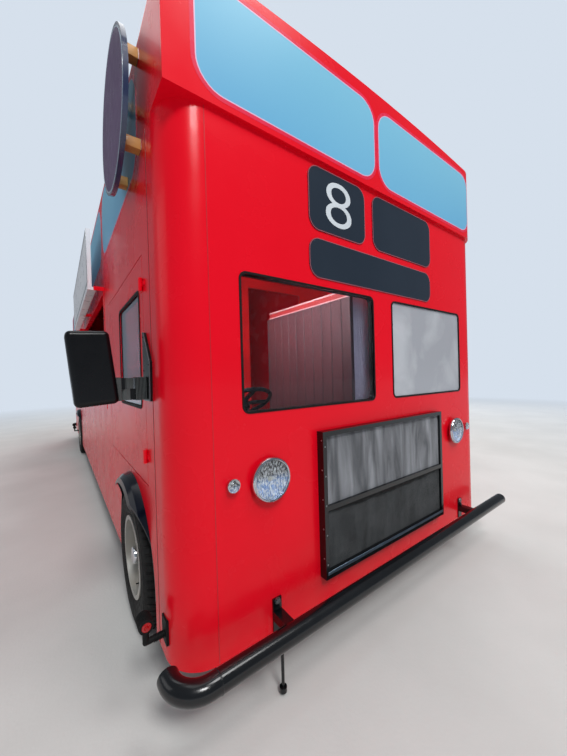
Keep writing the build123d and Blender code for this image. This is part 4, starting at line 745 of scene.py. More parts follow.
# Lamps: fluted lenses, bulbs, bowls and rims. Outlines are (distance ahead, radius) points.
HEADLAMP = (0.838, 0.908)
HEADLAMP_LENS = (0.0845, 0.032, 0.012, 11)
HEADLAMP_BOWL = ((0.0226, 0.0840), (0.0188, 0.060), (0.0149, 0.036), (0.0112, 0.014), (0.0092, 0),
                 (0.0072, 0), (0.0200, 0.0840))
HEADLAMP_RIM = ((0.016, 0.0945), (0.020, 0.0972), (0.030, 0.0970), (0.0350, 0.0930),
                (0.0335, 0.0908), (0.026, 0.0945))
HEADLAMP_BEZEL = ((0.031, 0.0905), (0.0375, 0.0900), (0.0390, 0.0872), (0.0375, 0.0848),
                  (0.033, 0.0850))
BULB = ((0, 0), (0, 0.011), (0.006, 0.011), (0.009, 0.006), (0.013, 0.005), (0.015, 0))
BULB_AHEAD = 0.009
CLAMP_SCREW = (0.033, -0.092)
SIDE_LAMP = (1.018, 0.920)
SIDE_LAMP_LENS = (0.0275, 0.025, 0.012, 5)
SIDE_LAMP_BOWL = ((0.0240, 0), (0.0240, 0.0262), (0.0262, 0.0262), (0.0256, 0.012), (0.0256, 0))
LENS_WALL = 0.004
FLUTE_DEPTH = 0.0016
PRISM_HEIGHT = 0.02
PRISM_DEPTH = 0.0012


def lens_part(x, z, radius, depth, height, flutes):
    """Hollow glass dome with upright flutes on its face."""
    rings, steps = 14, 72
    layer_size = (rings + 1) * steps
    rim = rings * steps
    points, faces = [], []
    for layer in (0, 1):
        for ring in range(rings + 1):
            share = ring / rings
            for step in range(steps):
                angle = 2 * math.pi * step / steps
                u = share * radius * math.cos(angle)
                v = share * radius * math.sin(angle)
                ahead = depth + height * (1 - share ** 2) - layer * LENS_WALL
                if layer == 0:
                    fade = min(1.0, 5 * (1 - share))
                    flute = abs(math.sin(flutes * math.pi * u / (2 * radius)))
                    ahead += FLUTE_DEPTH * fade * flute
                    ahead += PRISM_DEPTH * fade * (v / PRISM_HEIGHT - math.floor(v / PRISM_HEIGHT))
                points.append((x + u, FRONT_Y - ahead, z + v))
        for ring in range(rings):
            start = layer * layer_size + ring * steps
            faces += strip(start, start + steps, steps)
    return points, faces + strip(rim, layer_size + rim, steps)


def lamp_lenses():
    """Glass of the headlamps and side lamps, with bulbs and bowls behind it."""
    shell, bulbs = Shell(), Shell()
    for side in (-1, 1):
        x, z = side * HEADLAMP[0], HEADLAMP[1]
        shell.add(lens_part(x, z, *HEADLAMP_LENS))
        bulbs.add(turned(BULB, (x, FRONT_Y - BULB_AHEAD, z), AHEAD, 20), 0)
        bulbs.add(turned(HEADLAMP_BOWL, (x, FRONT_Y, z), AHEAD, 64), 1)
        x, z = side * SIDE_LAMP[0], SIDE_LAMP[1]
        bulbs.add(turned(SIDE_LAMP_BOWL, (x, FRONT_Y, z), AHEAD, 32), 1)
        shell.add(lens_part(x, z, *SIDE_LAMP_LENS))
    lens = shell.piece("lamp_glasses", COACH, ["lamp_glass"], "lamp_glass", 60)
    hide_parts("lamp_lenses")
    bulbs.piece("lamp_bulbs", COACH, ["bulb", "reflector_bowl"], "chrome")


def lamp_trim():
    """Rim, bezel and clamp screw of each headlamp."""
    shell = Shell()
    for side in (-1, 1):
        x, z = side * HEADLAMP[0], HEADLAMP[1]
        for ring in (HEADLAMP_RIM, HEADLAMP_BEZEL):
            shell.add(turned(ring, (x, FRONT_Y, z), AHEAD, 72))
        screw = (x, FRONT_Y - CLAMP_SCREW[0], z + CLAMP_SCREW[1])
        shell.add(dome(screw, AHEAD, 0.004, 0.004))
    shell.piece("headlamp_rims", COACH, ["chrome"], "chrome")


# Bumper welds, tube ends with painted shade in the bore, bracket bolts
BUMPER_RADIUS = 0.038
BUMPER_Z = 0.300
BUMPER_Y = FRONT_Y - 0.130
BUMPER_X = -1.288
BUMPER_BEND = 0.112
BUMPER_RETURN = 0.012
BUMPER_END_X = SIDE_X + 0.080
TUBE_BORE = 0.034
WELD_X = -1.150
WELD_BEAD = ((-0.003, -0.0005), (-0.0025, 0.001), (0, 0.0016), (0.0025, 0.001), (0.003, -0.0005))
BRACKETS = (-0.815, 0.905)
BRACKET_FACE = 0.009
BRACKET_TOP_Z = 0.373
BRACKET_BOLTS = (0.012, 0.042)
BOLT_SIZE = (0.0102, 0.0095)


def bumper_welds():
    """Thin weld bead beside the bend and, at both ends of each tube, a near-black disc of painted
    shade for the dark inside of the bore.
    """
    shell = Shell()
    bead = [(along, BUMPER_RADIUS + out) for along, out in WELD_BEAD]
    # Painted shade: a flat near-black disc in each tube end stands for the shaded hollow inside.
    bore_shade = disc(TUBE_BORE)
    for _, end in ENDS:
        back_y = end * (BUMPER_Y + BUMPER_BEND + BUMPER_RETURN)
        shell.add(turned(bead, (WELD_X, end * BUMPER_Y, BUMPER_Z), (1, 0, 0), 40), 0)
        shell.add(turned(bore_shade, (BUMPER_END_X, end * BUMPER_Y, BUMPER_Z), (1, 0, 0), 40), 1)
        shell.add(turned(bore_shade, (BUMPER_X, back_y, BUMPER_Z), (0, end, 0), 40), 1)
    shell.piece("bumper_welds", COACH, ["black_paint", "painted_shade_black"], "black_paint", 60)


def bracket_bolts():
    """A bright bolt over a dark one on each bracket."""
    shell = Shell()
    for _, end in ENDS:
        for x in BRACKETS:
            for mark, drop in enumerate(BRACKET_BOLTS):
                place = (x, end * (FRONT_Y - BRACKET_FACE), BRACKET_TOP_Z - drop)
                shell.add(hexagon(place, (0, -end, 0), *BOLT_SIZE), mark)
    shell.piece("bracket_bolts", COACH, ["steel_zinc", "black_paint"], "chrome", 30)


# Mirrors: glass, ribbed arms, base plates with a pale edge and screws. Corners of the head are
# (distance outside the pivot, Z) points, those of the base (distance behind the front, Z).
MIRROR_PIVOT_X = SIDE_X + 0.085
MIRROR_HEAD = ((0.190, 1.250), (0.035, 1.262), (0.068, 1.556), (0.217, 1.549))
MIRROR_GLASS_SHARE = 0.8
MIRROR_GLASS_CORNER = 0.12
MIRROR_RUBBER = 0.05
MIRROR_ARM_Z = (1.271, 1.364)
MIRROR_BASE = ((0.248, 1.262), (0.243, 1.430), (0.340, 1.565), (0.363, 1.565))
MIRROR_BASE_OUT = 0.012
MIRROR_EDGE_RADIUS = 0.0022
MIRROR_RIDGES = 26
MIRROR_COLLAR = (0.0226, 0.0246)
BASE_SCREWS = ((0.256, 1.285), (0.256, 1.418), (0.350, 1.545), (0.350, 1.395))
# Ribs: how many, the first one's distance, the step, then half width, half depth and overlap
ARM_RIBS = (8, 0.0155, 0.0056, 0.0015, 0.0315, 0.0035)
SLEEVE_RIBS = (5, 0.0025, 0.005, 0.0014, 0.0295, 0.003)
SLEEVE_NEAR, SLEEVE_FAR = MIRROR_PIVOT_X + 0.025, MIRROR_PIVOT_X + 0.050
SLEEVE_HALF = 0.026


def arm_ribs(side, start, y, rows):
    """Flat ribs side by side round a mirror's arm, outwards from a distance."""
    count, first, step, half, reach, over = rows
    bottom, top = MIRROR_ARM_Z
    for index in range(count):
        x = side * (start + first + index * step)
        yield soft_block((x - half, y - reach, bottom - over), (x + half, y + reach, top + over),
                         0.0012, 1)


def ridged(pivot, low, high):
    """Upright collar round the pivot with ridges like those of a bellows."""
    points = []
    steps = 4 * MIRROR_RIDGES
    for z in (low, high):
        for step in range(steps):
            angle = 2 * math.pi * step / steps
            reach = MIRROR_COLLAR[step % 4 // 2]
            x, y = pivot[0] + reach * math.cos(angle), pivot[1] + reach * math.sin(angle)
            points.append((x, y, z))
    return bar(points, steps)


def mirrors():
    """Glass, sleeve and ribbed arm of each mirror, and the trim of its base."""
    corners = [Vector(corner) for corner in MIRROR_HEAD]
    bottom, top = MIRROR_ARM_Z
    middle_z = (bottom + top) / 2
    for name, side in SIDES:
        low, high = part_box(f"mirror_head_{name}")
        middle_y = (low.y + high.y) / 2

        def place(u, v, out):
            across, up = 0.5 + u * MIRROR_GLASS_SHARE, 0.5 + v * MIRROR_GLASS_SHARE
            at = corners[0].lerp(corners[1], across).lerp(corners[3].lerp(corners[2], across), up)
            return (side * (MIRROR_PIVOT_X + at.x), high.y + out, at.y)

        shell = Shell()
        shell.add(film(1.0, 1.0, MIRROR_GLASS_CORNER, place, far=0.0008), 0)
        shell.add(frame_band(1.0, 1.0, MIRROR_GLASS_CORNER, MIRROR_RUBBER, place, far=0.003), 1)
        shell.piece(f"mirror_glass_{name}", f"mirror_head_{name}", ["mirror_glass", "seal_rubber"],
                    "black_plastic")

        pivot = (side * MIRROR_PIVOT_X, middle_y)
        sleeve = Shell()
        sleeve.add(soft_block((side * SLEEVE_NEAR, middle_y - SLEEVE_HALF, bottom),
                              (side * SLEEVE_FAR, middle_y + SLEEVE_HALF, top), 0.002, 1))
        for rib in arm_ribs(side, SLEEVE_NEAR, middle_y, SLEEVE_RIBS):
            sleeve.add(rib)
        sleeve.add(ridged(pivot, middle_z + 0.0012, top + 0.0005))
        sleeve.piece(f"mirror_sleeve_{name}", f"mirror_head_{name}", ["sleeve_rubber"],
                     "black_plastic", 30)

        ribs = Shell()
        for rib in arm_ribs(side, SIDE_X, middle_y, ARM_RIBS):
            ribs.add(rib, 2)
        ribs.add(ridged(pivot, bottom - 0.0005, middle_z - 0.0002), 2)
        base_x = side * (SIDE_X + MIRROR_BASE_OUT)
        for distance, z in BASE_SCREWS:
            ribs.add(dome((base_x, FRONT_Y + distance, z), (side, 0, 0), 0.004, 0.0025), 0)
        edge = [(base_x, FRONT_Y + distance, z) for distance, z in MIRROR_BASE]
        for ends in zip(edge, edge[1:]):
            ribs.add(tube(ends, MIRROR_EDGE_RADIUS, 8), 1)
        ribs.piece(f"mirror_arm_ribs_{name}", COACH, ["seal_rubber", "edge_grey", "sleeve_rubber"],
                   "seal_rubber", 30)


# Tyres with their tread. Points are (distance from the outer face, radius).
TYRE_RADIUS = 0.370
TREAD_BLOCKS = 60
TREAD_DEPTH = 0.008
TREAD_STEPS = ((0.0, 0.0), (0.08, TREAD_DEPTH), (0.30, TREAD_DEPTH), (0.38, 0.0))
TREAD_GROOVES = (0.0775, 0.1125, 0.1475)
GROOVE_TOP, GROOVE_FLOOR = 0.0045, 0.0035
SHOULDER = 0.0700
SHOULDER_LEAN = 0.25
LUG_RADIUS = 0.350
LUG_FADE = 0.014
TYRE_SIDE = ((0.021, 0.204), (0.017, 0.210), (0.014, 0.222), (0.008, 0.240), (0.0055, 0.252),
             (0.007, 0.254), (0.004, 0.268), (0.001, 0.287), (0.001, 0.306), (0.003, 0.326),
             (0.0055, 0.328), (0.0065, 0.340), (0.013, 0.3535), (0.022, 0.3640), (0.032, 0.3680),
             (0.046, TYRE_RADIUS), (0.060, TYRE_RADIUS), (SHOULDER, TYRE_RADIUS))


def tyre_outline(width):
    """Half section and its mirror image, with the ring grooves between them."""
    tread = []
    for groove in TREAD_GROOVES:
        tread += [(groove - GROOVE_TOP, TYRE_RADIUS),
                  (groove - GROOVE_FLOOR, TYRE_RADIUS - TREAD_DEPTH),
                  (groove + GROOVE_FLOOR, TYRE_RADIUS - TREAD_DEPTH),
                  (groove + GROOVE_TOP, TYRE_RADIUS)]
    far_side = [(width - inset, radius) for inset, radius in reversed(TYRE_SIDE)]
    return list(TYRE_SIDE) + tread + far_side


def wheels():
    """Each wheel's axle and side, its tyre's width, and how far out and where its face is."""
    for axle in ("front", "rear"):
        for name, side in SIDES:
            low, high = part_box(f"{axle}_tyre_{name}")
            face = (max(abs(low.x), abs(high.x)), (low.y + high.y) / 2, (low.z + high.z) / 2)
            yield axle, name, side, high.x - low.x, face


def tyres():
    """Tyres with cut tread blocks at both shoulders."""
    for axle, name, side, width, (outer, y, z) in wheels():
        outline = tyre_outline(width)
        points, faces = [], []
        for block in range(TREAD_BLOCKS):
            for share, cut in TREAD_STEPS:
                for inset, radius in outline:
                    edge = min(inset, width - inset)
                    lean = SHOULDER_LEAN * (edge - SHOULDER) / SHOULDER if edge < SHOULDER else 0.0
                    angle = 2 * math.pi * (block + share + lean) / TREAD_BLOCKS
                    if radius > LUG_RADIUS and edge < SHOULDER - 0.001:
                        radius = radius - cut * min(1.0, (radius - LUG_RADIUS) / LUG_FADE)
                    points.append((side * (outer - inset), y + radius * math.cos(angle),
                                   z + radius * math.sin(angle)))
        count = len(outline)
        for start in range(0, len(points), count):
            faces += strip(start, (start + count) % len(points), count)
        shell = Shell()
        shell.add((points, faces))
        made = shell.piece(f"{axle}_tread_{name}", f"{axle}_wheel_{name}", ["tyre"], "tyre", 28)
        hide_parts(f"{axle}_tyre_{name}")


# Nuts, caps and valves of the wheels
NUT_CIRCLE = 0.083
NUT_COUNT = 6
NUT_SIZE = (0.010, 0.016)
DISC_FACE = 0.058
WHEEL_CAP = ((-0.001, 0), (-0.001, 0.0475), (0.004, 0.048), (0.03, 0.0462), (0.041, 0.0440),
             (0.0465, 0.037), (0.0475, 0.024), (0.0478, 0))
VALVE = ((0, 0), (0, 0.006), (0.022, 0.0055), (0.024, 0.004), (0.034, 0.004), (0.034, 0))
VALVE_SUNK = 0.002
VALVE_DROP = 0.172


def wheel_trim():
    """Nuts, cap and valve of each wheel."""
    for axle, name, side, _, (outer, y, z) in wheels():
        shell = Shell()
        face = side * (outer - DISC_FACE)
        for index in range(NUT_COUNT):
            angle = 2 * math.pi * (index + 0.5) / NUT_COUNT
            place = (face, y + NUT_CIRCLE * math.cos(angle), z + NUT_CIRCLE * math.sin(angle))
            shell.add(hexagon(place, (side, 0, 0), *NUT_SIZE), 0)
        shell.add(turned(WHEEL_CAP, (face, y, z), (side, 0, 0), 40), 0)
        valve = (face - side * VALVE_SUNK, y, z - VALVE_DROP)
        shell.add(turned(VALVE, valve, (side, 0, 0.25), 12), 1)
        shell.piece(f"{axle}_wheel_trim_{name}", f"{axle}_wheel_{name}",
                    ["chrome", "seal_rubber"], "chrome", 35)


# Cab doors: slim rubber round the windows, their lining and the stops round the openings
CAB_WINDOW_MIDDLE = (FRONT_Y + 0.755, 1.501)
CAB_WINDOW = (0.580, 0.558, 0.030)
CAB_RUBBER = (0.009, -0.005, -SUNK, 0.003)
CAB_LINING = (SUNK, -0.004, -0.041, -0.012)
CAB_OPENING_MIDDLE = (FRONT_Y + 0.9625, 1.396)
CAB_OPENING_SIZE = (1.165, 1.068)
CAB_STOP_OUT, CAB_STOP_IN = 0.015, 0.020
CAB_STOP_CORNER = 0.006


def cab_doors():
    """Rubber round the windows, and the rubber stops that the doors close against."""
    stops = Shell()
    for name, side in SIDES:
        shell = Shell()
        place = on_side(side, *CAB_WINDOW_MIDDLE)
        for outer, inner, near, far in (CAB_RUBBER, CAB_LINING):
            shell.add(band(grown(*CAB_WINDOW, outer), grown(*CAB_WINDOW, inner), place, near, far))
        shell.piece(f"cab_door_trim_{name}", f"cab_door_{name}", ["seal_rubber"], "seal_rubber")
        length, rise = CAB_OPENING_SIZE
        outer, inner = (rounded(length + 2 * by, rise + 2 * by, CAB_STOP_CORNER)
                        for by in (CAB_STOP_OUT, -CAB_STOP_IN))
        stops.add(band(outer, inner, on_side(side, *CAB_OPENING_MIDDLE), -0.045, -0.0402))
    stops.piece("cab_door_stops", COACH, ["seal_rubber"], "seal_rubber")


# Marker lamps: ribbed arms and holders, ringed lenses
MARKER_PLACES = ((FRONT_Y + 0.156, -1), (FRONT_Y + 6.62, 1))
MARKER_X = SIDE_X + 0.075
MARKER_Z = 0.405
MARKER_ARM_Z = 0.335
MARKER_NEAR = 0.014
MARKER_LENS = 0.006
MARKER_RIBS = 7
ARM_RIB_START, ARM_RIB_STEP = 0.010, 0.0055
HOLDER_RIB_START, HOLDER_RIB_STEP = 0.001, 0.008
ARM_RIB = ((0, 0.0115), (0.001, 0.0145), (0.0025, 0.0145), (0.0035, 0.0115))
HOLDER_RIB = ((0, 0.0255), (0.0008, 0.0282), (0.004, 0.0282), (0.0048, 0.0255))
HOLDER_RIM = ((0, 0.0224), (0, 0.0275), (MARKER_LENS + 0.001, 0.0270),
              (MARKER_LENS + 0.002, 0.0250), (MARKER_LENS + 0.002, 0.0185),
              (MARKER_LENS + 0.0005, 0.0180), (MARKER_LENS + 0.0003, 0.0224))
LENS_RINGS = ((-SUNK, 0), (-SUNK, 0.0178), (0.001, 0.0178), (0.0026, 0.0155), (0.0020, 0.0140),
              (0.0036, 0.0105), (0.0030, 0.0090), (0.0042, 0.0045), (0.0044, 0))


def markers():
    """Ribs of the marker lamps' arms and holders, and the rings of their lenses."""
    shell, lenses = Shell(), Shell()
    for side in (-1, 1):
        x = side * MARKER_X
        for y, facing in MARKER_PLACES:
            near = y + facing * MARKER_NEAR
            for index in range(MARKER_RIBS):
                rib_x = side * (SIDE_X + ARM_RIB_START + index * ARM_RIB_STEP)
                shell.add(turned(ARM_RIB, (rib_x, y, MARKER_ARM_Z), (side, 0, 0), 20))
            for index in range(MARKER_RIBS):
                rib_y = near - facing * (HOLDER_RIB_START + HOLDER_RIB_STEP * index)
                shell.add(turned(HOLDER_RIB, (x, rib_y, MARKER_Z), (0, -facing, 0), 32))
            shell.add(turned(HOLDER_RIM, (x, near, MARKER_Z), (0, facing, 0), 32))
            lens = (x, near + facing * MARKER_LENS, MARKER_Z)
            lenses.add(turned(LENS_RINGS, lens, (0, facing, 0), 28))
    shell.piece("marker_arm_ribs", COACH, ["seal_rubber"], "seal_rubber")
    lenses.piece("marker_lens_rings", COACH, ["red_lens"], "red_lens")


# Round signs: a plain plum face with a pale line, and wooden blocks
ROUND_SIGN = (FRONT_Y + 0.501, 2.593)
ROUND_SIGN_BACK = SIDE_X + 0.070
ROUND_SIGN_FACE = SIDE_X + 0.090
ROUND_SIGN_PLAIN = 0.312
ROUND_SIGN_LINE = 0.318
BLOCK_ALONG, BLOCK_UP = 0.157, 0.200
BLOCK_HALF = 0.0235


def round_signs():
    """Face of the round sign on each side, with the wooden blocks behind it."""
    shell = Shell()
    y, z = ROUND_SIGN
    line = [(-SUNK, ROUND_SIGN_PLAIN), (-SUNK, ROUND_SIGN_LINE), (FILM, ROUND_SIGN_LINE),
            (FILM, ROUND_SIGN_PLAIN)]
    for side in (-1, 1):
        face = (side * ROUND_SIGN_FACE, y, z)
        shell.add(turned(disc(ROUND_SIGN_PLAIN), face, (side, 0, 0), 96), 1)
        shell.add(turned(line, face, (side, 0, 0), 96), 0)
        for dy in (-BLOCK_ALONG, BLOCK_ALONG):
            for dz in (-BLOCK_UP, BLOCK_UP):
                low = (side * (SIDE_X + 0.001), y + dy - BLOCK_HALF, z + dz - BLOCK_HALF)
                high = (side * (ROUND_SIGN_BACK - 0.0005), y + dy + BLOCK_HALF,
                        z + dz + BLOCK_HALF)
                shell.add(soft_block(low, high, 0.002), 2)
    shell.piece("round_sign_faces", COACH, ["sign_pale", "sign_plum", "block_wood"], "sign_blue")


# Seams of the panels, on the walls and over the roof
SEAM_HALF = 0.003
SEAM_OUT = 0.0012
SEAM_MARGIN = 0.004
SIDE_SEAM_INSET = 0.25
FRONT_SEAM_X = -1.09
FRONT_SEAM_HALF = 0.002
ROOF_SEAMS = (-2.0, 0.0, 2.0)
ROOF_SEAM_SECTION = ((-0.012, -SUNK), (0.012, -SUNK), (0.010, 0.002), (-0.010, 0.002))


def roof_height(x):
    """Z of the crowned roof, whose section is part of a circle."""
    radius = (ROOF_EDGE_X ** 2 + ROOF_CROWN ** 2) / (2 * ROOF_CROWN)
    return ROOF_EDGE_Z + ROOF_CROWN - radius + math.sqrt(radius ** 2 - x ** 2)


def seams():
    """Upright seams of the side and front walls, and bands across the roof."""
    shell = Shell()
    z0, z1 = SKIRT_Z + SEAM_MARGIN, DECK_Z - SEAM_MARGIN
    for side in (-1, 1):
        for y in (FRONT_Y + SIDE_SEAM_INSET, -FRONT_Y - SIDE_SEAM_INSET):
            shell.add(soft_block((side * (SIDE_X - SUNK), y - SEAM_HALF, z0),
                                 (side * (SIDE_X + SEAM_OUT), y + SEAM_HALF, z1), 0.0005, 1))
    shell.add(soft_block((FRONT_SEAM_X - FRONT_SEAM_HALF, FRONT_Y - FILM, z0),
                         (FRONT_SEAM_X + FRONT_SEAM_HALF, FRONT_Y + SUNK, z1), 0.0002, 1), 1)
    count = 24
    for y in ROOF_SEAMS:
        points = []
        for step in range(count + 1):
            x = ROOF_EDGE_X * (2 * step / count - 1)
            points += [(x, y + dy, roof_height(x) + dz) for dy, dz in ROOF_SEAM_SECTION]
        shell.add(bar(points, 4))
    shell.piece("panel_seams", COACH, ["seam_dark", "seam_front"], "red_paint")


# Inside of the cab: rails on the partition and the curtain beside it
PARTITION_LOW, PARTITION_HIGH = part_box("cab_partition")
RAIL_RADIUS = 0.006
RAIL_RISES = (0.006, 0.046)
STRIP_HALF = 0.002
CURTAIN_X = (-0.186, -0.030)
CURTAIN_Z = (1.14, 1.84)
CURTAIN_Y = FRONT_Y + 0.085
CURTAIN_FOLDS = 8
CURTAIN_WAVE = 0.010
CURTAIN_DRIFT = 0.003
CURTAIN_GRID = (80, 24)


def cab_rails():
    """Two rails on the partition with a red strip between them."""
    rails = Shell()
    middle = (PARTITION_LOW.x + PARTITION_HIGH.x) / 2
    front, back, top = PARTITION_LOW.y, PARTITION_HIGH.y, PARTITION_HIGH.z
    for dz in RAIL_RISES:
        ends = [(middle, front + 0.01, top + dz), (middle, back - 0.02, top + dz)]
        rails.add(tube(ends, RAIL_RADIUS, 14))
    rails.add(soft_block((middle - STRIP_HALF, front + 0.012, top + 0.004),
                         (middle + STRIP_HALF, back - 0.022, top + 0.044), 0.0005, 1), 1)
    rails.piece("cab_rails", COACH, ["rail_white", "rail_red"], "flap_white")


def curtain_line(u):
    """X and Y of the folded curtain at a share of its width."""
    x = CURTAIN_X[0] + (CURTAIN_X[1] - CURTAIN_X[0]) * u
    return x, CURTAIN_Y + CURTAIN_WAVE * math.sin(2 * math.pi * CURTAIN_FOLDS * u)


def cab_curtain():
    """Curtain in folds; the length of its folded line is the width of the cut cloth."""
    count = 240
    places = [curtain_line(step / count) for step in range(count + 1)]
    cut = sum(math.dist(a, b) for a, b in zip(places, places[1:]))

    def place(u, v, out):
        x, y = curtain_line(u)
        z = CURTAIN_Z[0] + (CURTAIN_Z[1] - CURTAIN_Z[0]) * v
        return (x + CURTAIN_DRIFT * math.sin(9 * v + 4 * u), y + out, z)

    shell = Shell()
    shell.add(cloth_sheet(*CURTAIN_GRID, place))
    curtain = shell.piece("cab_curtain", COACH, ["curtain_cloth_painted_light"], "seat_fabric", CLOTH_SMOOTH)


# Hatch: edging of the flap, clear of its hinge lugs
FLAP_HINGE_STRIP = 0.042
FLAP_EDGING = 0.05
FLAP_EDGING_THICK = 0.002
FLAP_SCREWS = 12
FLAP_SCREW_SIZE = (0.004, 0.0012)


def hatch_trim():
    """Aluminium edging of the flap with screws along its bottom and top."""
    low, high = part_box("hatch_flap")
    shell = Shell()
    face = low.x
    bottom = low.z + FLAP_HINGE_STRIP
    middle_y, middle_z = (low.y + high.y) / 2, (bottom + high.z) / 2
    width, height = high.y - low.y, high.z - bottom
    inset = FLAP_EDGING / 4

    def place(u, v, out):
        return (face - out, middle_y + u, middle_z + v)

    inner = rounded(width - FLAP_EDGING, height - FLAP_EDGING, 0.004)
    shell.add(band(rounded(width, height, 0.006), inner, place, far=FLAP_EDGING_THICK), 0)
    for index in range(FLAP_SCREWS):
        y = low.y + inset + (width - 2 * inset) * index / (FLAP_SCREWS - 1)
        for z in (bottom + inset, high.z - inset):
            shell.add(dome((face - FLAP_EDGING_THICK, y, z), (-1, 0, 0), *FLAP_SCREW_SIZE), 1)
    shell.piece("hatch_flap_edging", "hatch_flap", ["aluminium", "steel_zinc"], "chrome")


# Seat cushions, swelled by cloth simulation
CUSHION_VOXEL = 0.009
CUSHION_PRESSURE = 4.0
CUSHION_FRAMES = 20
CUSHION_CAP = 0.012
CUSHION_CROWN = 0.012
CHANNEL_STEP = 0.078
CHANNEL_DEPTH = 0.006
CHANNEL_SHARPNESS = 12
CHANNEL_REACH = 2.4


def crowned_pad(low, high, crown_axis, crown):
    """Closed pad whose broad faces crown, for the start of the simulation."""
    bm = bmesh.new()
    points, faces = soft_block(low, high, 0.03, 4)
    made = [bm.verts.new(point) for point in points]
    for face in faces:
        bm.faces.new([made[index] for index in face])
    bmesh.ops.subdivide_edges(bm, edges=bm.edges[:], cuts=6, use_grid_fill=True)
    middle = (Vector(low) + Vector(high)) / 2
    half = (Vector(high) - Vector(low)) / 2
    spread = [axis for axis in range(3) if axis != crown_axis]
    for vertex in bm.verts:
        shares = [(vertex.co[axis] - middle[axis]) / half[axis] for axis in range(3)]
        fall = max(0.0, (1 - shares[spread[0]] ** 2) * (1 - shares[spread[1]] ** 2))
        if shares[crown_axis] * crown > 0:
            vertex.co[crown_axis] += crown * fall
    return from_bmesh(bm)


def swell(pad):
    """Remeshes a pad, blows it up a little as cloth and keeps the result."""
    remesh = pad.modifiers.new("even", "REMESH")
    remesh.mode = "VOXEL"
    remesh.voxel_size = CUSHION_VOXEL
    bpy.context.view_layer.objects.active = pad
    pad.select_set(True)
    bpy.ops.object.modifier_apply(modifier="even")
    before = [vertex.co.copy() for vertex in pad.data.vertices]
    cloth = pad.modifiers.new("cloth", "CLOTH")
    cloth.settings.use_pressure = True
    cloth.settings.uniform_pressure_force = CUSHION_PRESSURE
    cloth.settings.effector_weights.gravity = 0.0
    scene = bpy.context.scene
    for number in range(1, CUSHION_FRAMES + 1):
        scene.frame_set(number)
    bpy.ops.object.modifier_apply(modifier="cloth")
    scene.frame_set(1)
    for vertex, start in zip(pad.data.vertices, before):
        move = vertex.co - start
        if move.length > CUSHION_CAP:
            vertex.co = start + move.normalized() * CUSHION_CAP
    pad.select_set(False)


def seat():
    """Seat cushion and backrest with sewn channels."""
    low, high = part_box("seat_cushions")
    seat_low = (low.x + 0.008, low.y + 0.008, low.z + 0.002)
    seat_high = (high.x - 0.008, low.y + 0.462, low.z + 0.106)
    back_low = (low.x + 0.022, low.y + 0.478, low.z + 0.008)
    back_high = (high.x - 0.022, high.y - 0.003, high.z - 0.008)
    for name, a, b, axis, crown in (("seat_cushion", seat_low, seat_high, 2, CUSHION_CROWN),
                                    ("seat_backrest", back_low, back_high, 1, -CUSHION_CROWN)):
        shell = Shell()
        shell.add(crowned_pad(a, b, axis, crown))
        pad = shell.piece(name, COACH, ["seat_fabric"], "seat_fabric", 70)
        swell(pad)
        middle = (Vector(a) + Vector(b)) / 2
        for vertex in pad.data.vertices:
            along = (vertex.co.x - middle.x) / CHANNEL_STEP
            channel = math.exp(-((along - round(along)) * CHANNEL_SHARPNESS) ** 2)
            top = vertex.co.z > middle.z if axis == 2 else vertex.co.y < middle.y
            if top and abs(along) < CHANNEL_REACH:
                vertex.co[axis] -= math.copysign(CHANNEL_DEPTH, crown) * channel
        pad.data.shade_smooth()
        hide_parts("seat_cushions")


# Camera, lights, floor and backdrop
PHOTO_FOCAL = 308.21
PHOTO_HEIGHT = 756
SENSOR = 36.0
CAMERA_PLACE = Vector((-1.5725, -5.1374, 1.3541))
CAMERA_YAW, CAMERA_PITCH, CAMERA_ROLL = (math.radians(a) for a in (36.140, -0.374, -1.594))
FLOOR_HALF = 60.0
FLOOR_THICK = 0.02
FLOOR_FADE = (5.5, 16.0)
BACKDROP = light(214, 224, 236)
SOFT_LIGHT, SOFT_STRENGTH = light(226, 234, 244), 0.4
MIRRORED_STRENGTH = 0.3
# Name, place, target, size, power, and whether mirrors and glass show the lamp
LAMPS = (
    ("key", (-2.5, -12.0, 10.5), (-0.2, -3.5, 1.4), (3.0, 3.0), 930, True, True),
    ("fill", (3.0, -9.5, 14.0), (0.0, -3.5, 1.2), (4.0, 4.0), 500, True, True),
    ("side", (-12.0, 2.0, 6.0), (-1.2, 0.0, 1.6), (8.0, 5.0), 112, True, True),
    ("rear", (5.0, 12.0, 8.0), (0.0, 3.0, 1.5), (8.0, 6.0), 700, False, True),
    ("nearside", (12.0, 1.0, 6.0), (1.2, 0.0, 1.6), (8.0, 5.0), 500, False, True),
    ("top", (0.0, 0.0, 12.0), (0.0, 0.0, 0.0), (8.0, 10.0), 360, True, True),
    ("cab", (-0.70, -3.10, 2.30), (-0.60, -3.30, 1.20), (0.5, 0.5), 12, True, False),
    ("cab_back", (-0.90, -3.80, 1.75), (0.20, -2.30, 2.30), (0.3, 0.3), 26, True, False),
)


def camera():
    """Camera where the photo's was."""
    data = bpy.data.cameras.new("photo_camera")
    data.sensor_width = SENSOR
    data.lens = PHOTO_FOCAL * SENSOR / PHOTO_HEIGHT
    data.clip_start = 0.05
    ahead = Vector((math.sin(CAMERA_YAW) * math.cos(CAMERA_PITCH),
                    math.cos(CAMERA_YAW) * math.cos(CAMERA_PITCH), math.sin(CAMERA_PITCH)))
    level = Vector((math.cos(CAMERA_YAW), -math.sin(CAMERA_YAW), 0))
    upright = level.cross(ahead)
    right = math.cos(CAMERA_ROLL) * level + math.sin(CAMERA_ROLL) * upright
    up = math.cos(CAMERA_ROLL) * upright - math.sin(CAMERA_ROLL) * level
    turn = Matrix((right, up, -ahead)).transposed().to_4x4()
    made = show("photo_camera", data)
    made.matrix_world = Matrix.Translation(CAMERA_PLACE) @ turn
    bpy.context.scene.camera = made


